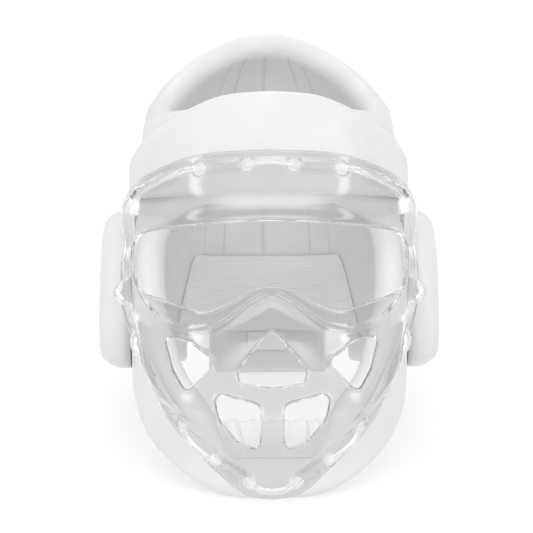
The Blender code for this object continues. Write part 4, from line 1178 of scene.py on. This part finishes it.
def handled_group():
    """Handling: broad faint smudges, and hairline scratches where a stretched noise crosses its middle."""
    group, given, out = group_of("handled", (("Scratches", 1.0),), ("Smudge", "Scratch"))
    where = node(group, "ShaderNodeTexCoord").outputs["Object"]
    smudge = range_of(group, noise_of(group, where, 30.0, 4.0, 0.62), 0.45, 0.75)
    group.links.new(smudge, out.inputs["Smudge"])
    lines = []
    for turn, scale in ((0.4, (420.0, 30.0, 30.0)), (1.3, (30.0, 30.0, 380.0))):
        links = {"Vector": where, "Rotation": (turn, 0.7, turn), "Scale": scale}
        turned = node(group, "ShaderNodeMapping", links)
        line = noise_of(group, turned.outputs["Vector"], 1.0, 1.0)
        line = math_of(group, "ABSOLUTE", math_of(group, "SUBTRACT", line, 0.5))
        lines.append(range_of(group, line, 0.0, 0.004, 1.0, 0.0))
    both = math_of(group, "MAXIMUM", lines[0], lines[1])
    sparse = range_of(group, noise_of(group, where, 55.0, 2.0), 0.55, 0.70)
    scratch = math_of(group, "MULTIPLY", math_of(group, "MULTIPLY", both, sparse), given.outputs["Scratches"])
    group.links.new(scratch, out.inputs["Scratch"])
    return group


dipped_skin, handled = skin_group(), handled_group()
print("node groups", dipped_skin.name, handled.name)

# %% Finishes of each material
def bump_into(tree, shader, height, strength, distance):
    """Bump node between a height and the shader's Normal."""
    links = {"Height": height, "Strength": strength, "Distance": distance}
    tree.links.new(node(tree, "ShaderNodeBump", links).outputs["Normal"], shader.inputs["Normal"])


def mix_of(tree, factor, low, high):
    """Colour between two by a factor."""
    mixed = node(tree, "ShaderNodeMix", {0: factor}, data_type="RGBA")
    for index, colour in ((6, low), (7, high)):
        if isinstance(colour, tuple):
            mixed.inputs[index].default_value = (*colour, 1)
        else:
            tree.links.new(colour, mixed.inputs[index])
    return mixed.outputs[2]


def vinyl_foam():
    """White vinyl skin on foam: satin, a little uneven, and greyer in the lining's seams, where shade is
    painted into the grooves.
    """
    material, tree, shader = finish_of("vinyl_foam", (0.74, 0.74, 0.74), 0.42)
    skin = node(tree, "ShaderNodeGroup", {}, node_tree=dipped_skin)
    worn = node(tree, "ShaderNodeGroup", {}, node_tree=handled)
    # seam mask: where painted shade goes into the lining's seam grooves
    seam = node(tree, "ShaderNodeAttribute", attribute_name="seam").outputs["Fac"]
    mottle = range_of(tree, skin.outputs["Mottle"], 0.3, 0.7)
    white = mix_of(tree, mottle, (0.715, 0.715, 0.72), (0.755, 0.755, 0.755))
    dirty = mix_of(tree, math_of(tree, "MULTIPLY", worn.outputs["Smudge"], 0.25), white, (0.63, 0.63, 0.625))
    # painted shade: the seam grooves are greyed in the colour
    seam_shaded = mix_of(tree, math_of(tree, "MULTIPLY", seam, 0.35), dirty, (0.42, 0.42, 0.43))
    tree.links.new(seam_shaded, shader.inputs["Base Color"])
    gloss = math_of(tree, "MULTIPLY_ADD", skin.outputs["Mottle"], 0.14, 0.36)
    gloss = math_of(tree, "MULTIPLY_ADD", worn.outputs["Smudge"], 0.10, gloss)
    tree.links.new(gloss, shader.inputs["Roughness"])
    shader.inputs["Subsurface Weight"].default_value = 0.12
    shader.inputs["Subsurface Radius"].default_value = (0.004, 0.004, 0.004)
    shader.inputs["Subsurface Scale"].default_value = 1.0
    bump_into(tree, shader, skin.outputs["Height"], 0.22, 0.0004)
    return material


def knitted_elastic():
    """Knit over the ribs: two rows of small slanting stitches, with painted shade darkening the gaps."""
    material, tree, shader = finish_of("knitted_elastic", (0.74, 0.74, 0.75), 0.85)
    where = node(tree, "ShaderNodeTexCoord").outputs["Object"]
    waves = []
    for slant in (0.55, -0.55):
        turned = node(tree, "ShaderNodeMapping", {"Vector": where, "Rotation": (0.0, slant, 0.0)})
        links = {"Vector": turned.outputs["Vector"], "Scale": 430.0, "Distortion": 0.4}
        waves.append(node(tree, "ShaderNodeTexWave", links, bands_direction="X").outputs["Fac"])
    knit = math_of(tree, "MAXIMUM", waves[0], waves[1])
    fuzz = noise_of(tree, where, 2600.0, 2.0)
    height = math_of(tree, "MULTIPLY_ADD", fuzz, 0.4, knit)
    # painted shade: the colour is darker where the knit is low, in the gaps between stitches
    tree.links.new(mix_of(tree, knit, (0.72, 0.72, 0.73), (0.86, 0.86, 0.87)), shader.inputs["Base Color"])
    shader.inputs["Sheen Weight"].default_value = 0.25
    bump_into(tree, shader, height, 0.3, 0.0003)
    return material


def ribbon_satin():
    """Plain woven ribbon: crossed fine waves, with painted shade darkening the dips between the threads."""
    material, tree, shader = finish_of("ribbon_satin", (0.88, 0.88, 0.88), 0.5)
    where = node(tree, "ShaderNodeTexCoord").outputs["Object"]
    threads = [node(tree, "ShaderNodeTexWave", {"Vector": where, "Scale": 700.0}, bands_direction=axis)
               for axis in ("X", "Z")]
    weave = math_of(tree, "MULTIPLY", threads[0].outputs["Fac"], threads[1].outputs["Fac"])
    # painted shade: darker where the weave dips between the threads
    tree.links.new(mix_of(tree, weave, (0.78, 0.78, 0.79), (0.90, 0.90, 0.90)), shader.inputs["Base Color"])
    bump_into(tree, shader, weave, 0.3, 0.0002)
    return material


def clear_plastic(name, colour, ior, haze, scratches, clarity):
    """Clear plastic with smudges and hairline scratches. Rays that only carry light pass it, so it casts
    hardly any shadow on what it covers."""
    material, tree, shader = finish_of(name, colour, haze)
    shader.inputs["Transmission Weight"].default_value = clarity
    shader.inputs["IOR"].default_value = ior
    worn = node(tree, "ShaderNodeGroup", {"Scratches": scratches}, node_tree=handled)
    rough = math_of(tree, "MULTIPLY_ADD", worn.outputs["Smudge"], 0.05, haze)
    rough = math_of(tree, "MULTIPLY_ADD", worn.outputs["Scratch"], 0.25, rough)
    tree.links.new(rough, shader.inputs["Roughness"])
    bump_into(tree, shader, worn.outputs["Scratch"], 0.10, 0.00005)
    path = node(tree, "ShaderNodeLightPath")
    lit = math_of(tree, "MAXIMUM", path.outputs["Is Shadow Ray"], path.outputs["Is Diffuse Ray"])
    lit = math_of(tree, "MAXIMUM", lit, math_of(tree, "GREATER_THAN", path.outputs["Ray Depth"], 5.5))
    tree.links.new(math_of(tree, "MULTIPLY_ADD", lit, -0.92, 1.0), shader.inputs["Alpha"])
    return material


foam = vinyl_foam()
finishes = {
    shell: foam, brow: foam, cushion: foam, flap: foam,
    bpy.data.objects["ear_pad_left"]: foam, bpy.data.objects["ear_pad_right"]: foam,
    elastic: knitted_elastic(), label: ribbon_satin(),
    shield: clear_plastic("clear_polycarbonate", (0.78, 0.785, 0.79), 1.585, 0.03, 1.0, 0.97),
    lace: clear_plastic("clear_tube", (0.985, 0.985, 0.985), 1.50, 0.05, 0.3, 0.95),
}
for piece, material in finishes.items():
    piece.data.materials.clear()
    piece.data.materials.append(material)
print(len(finishes), "pieces finished")
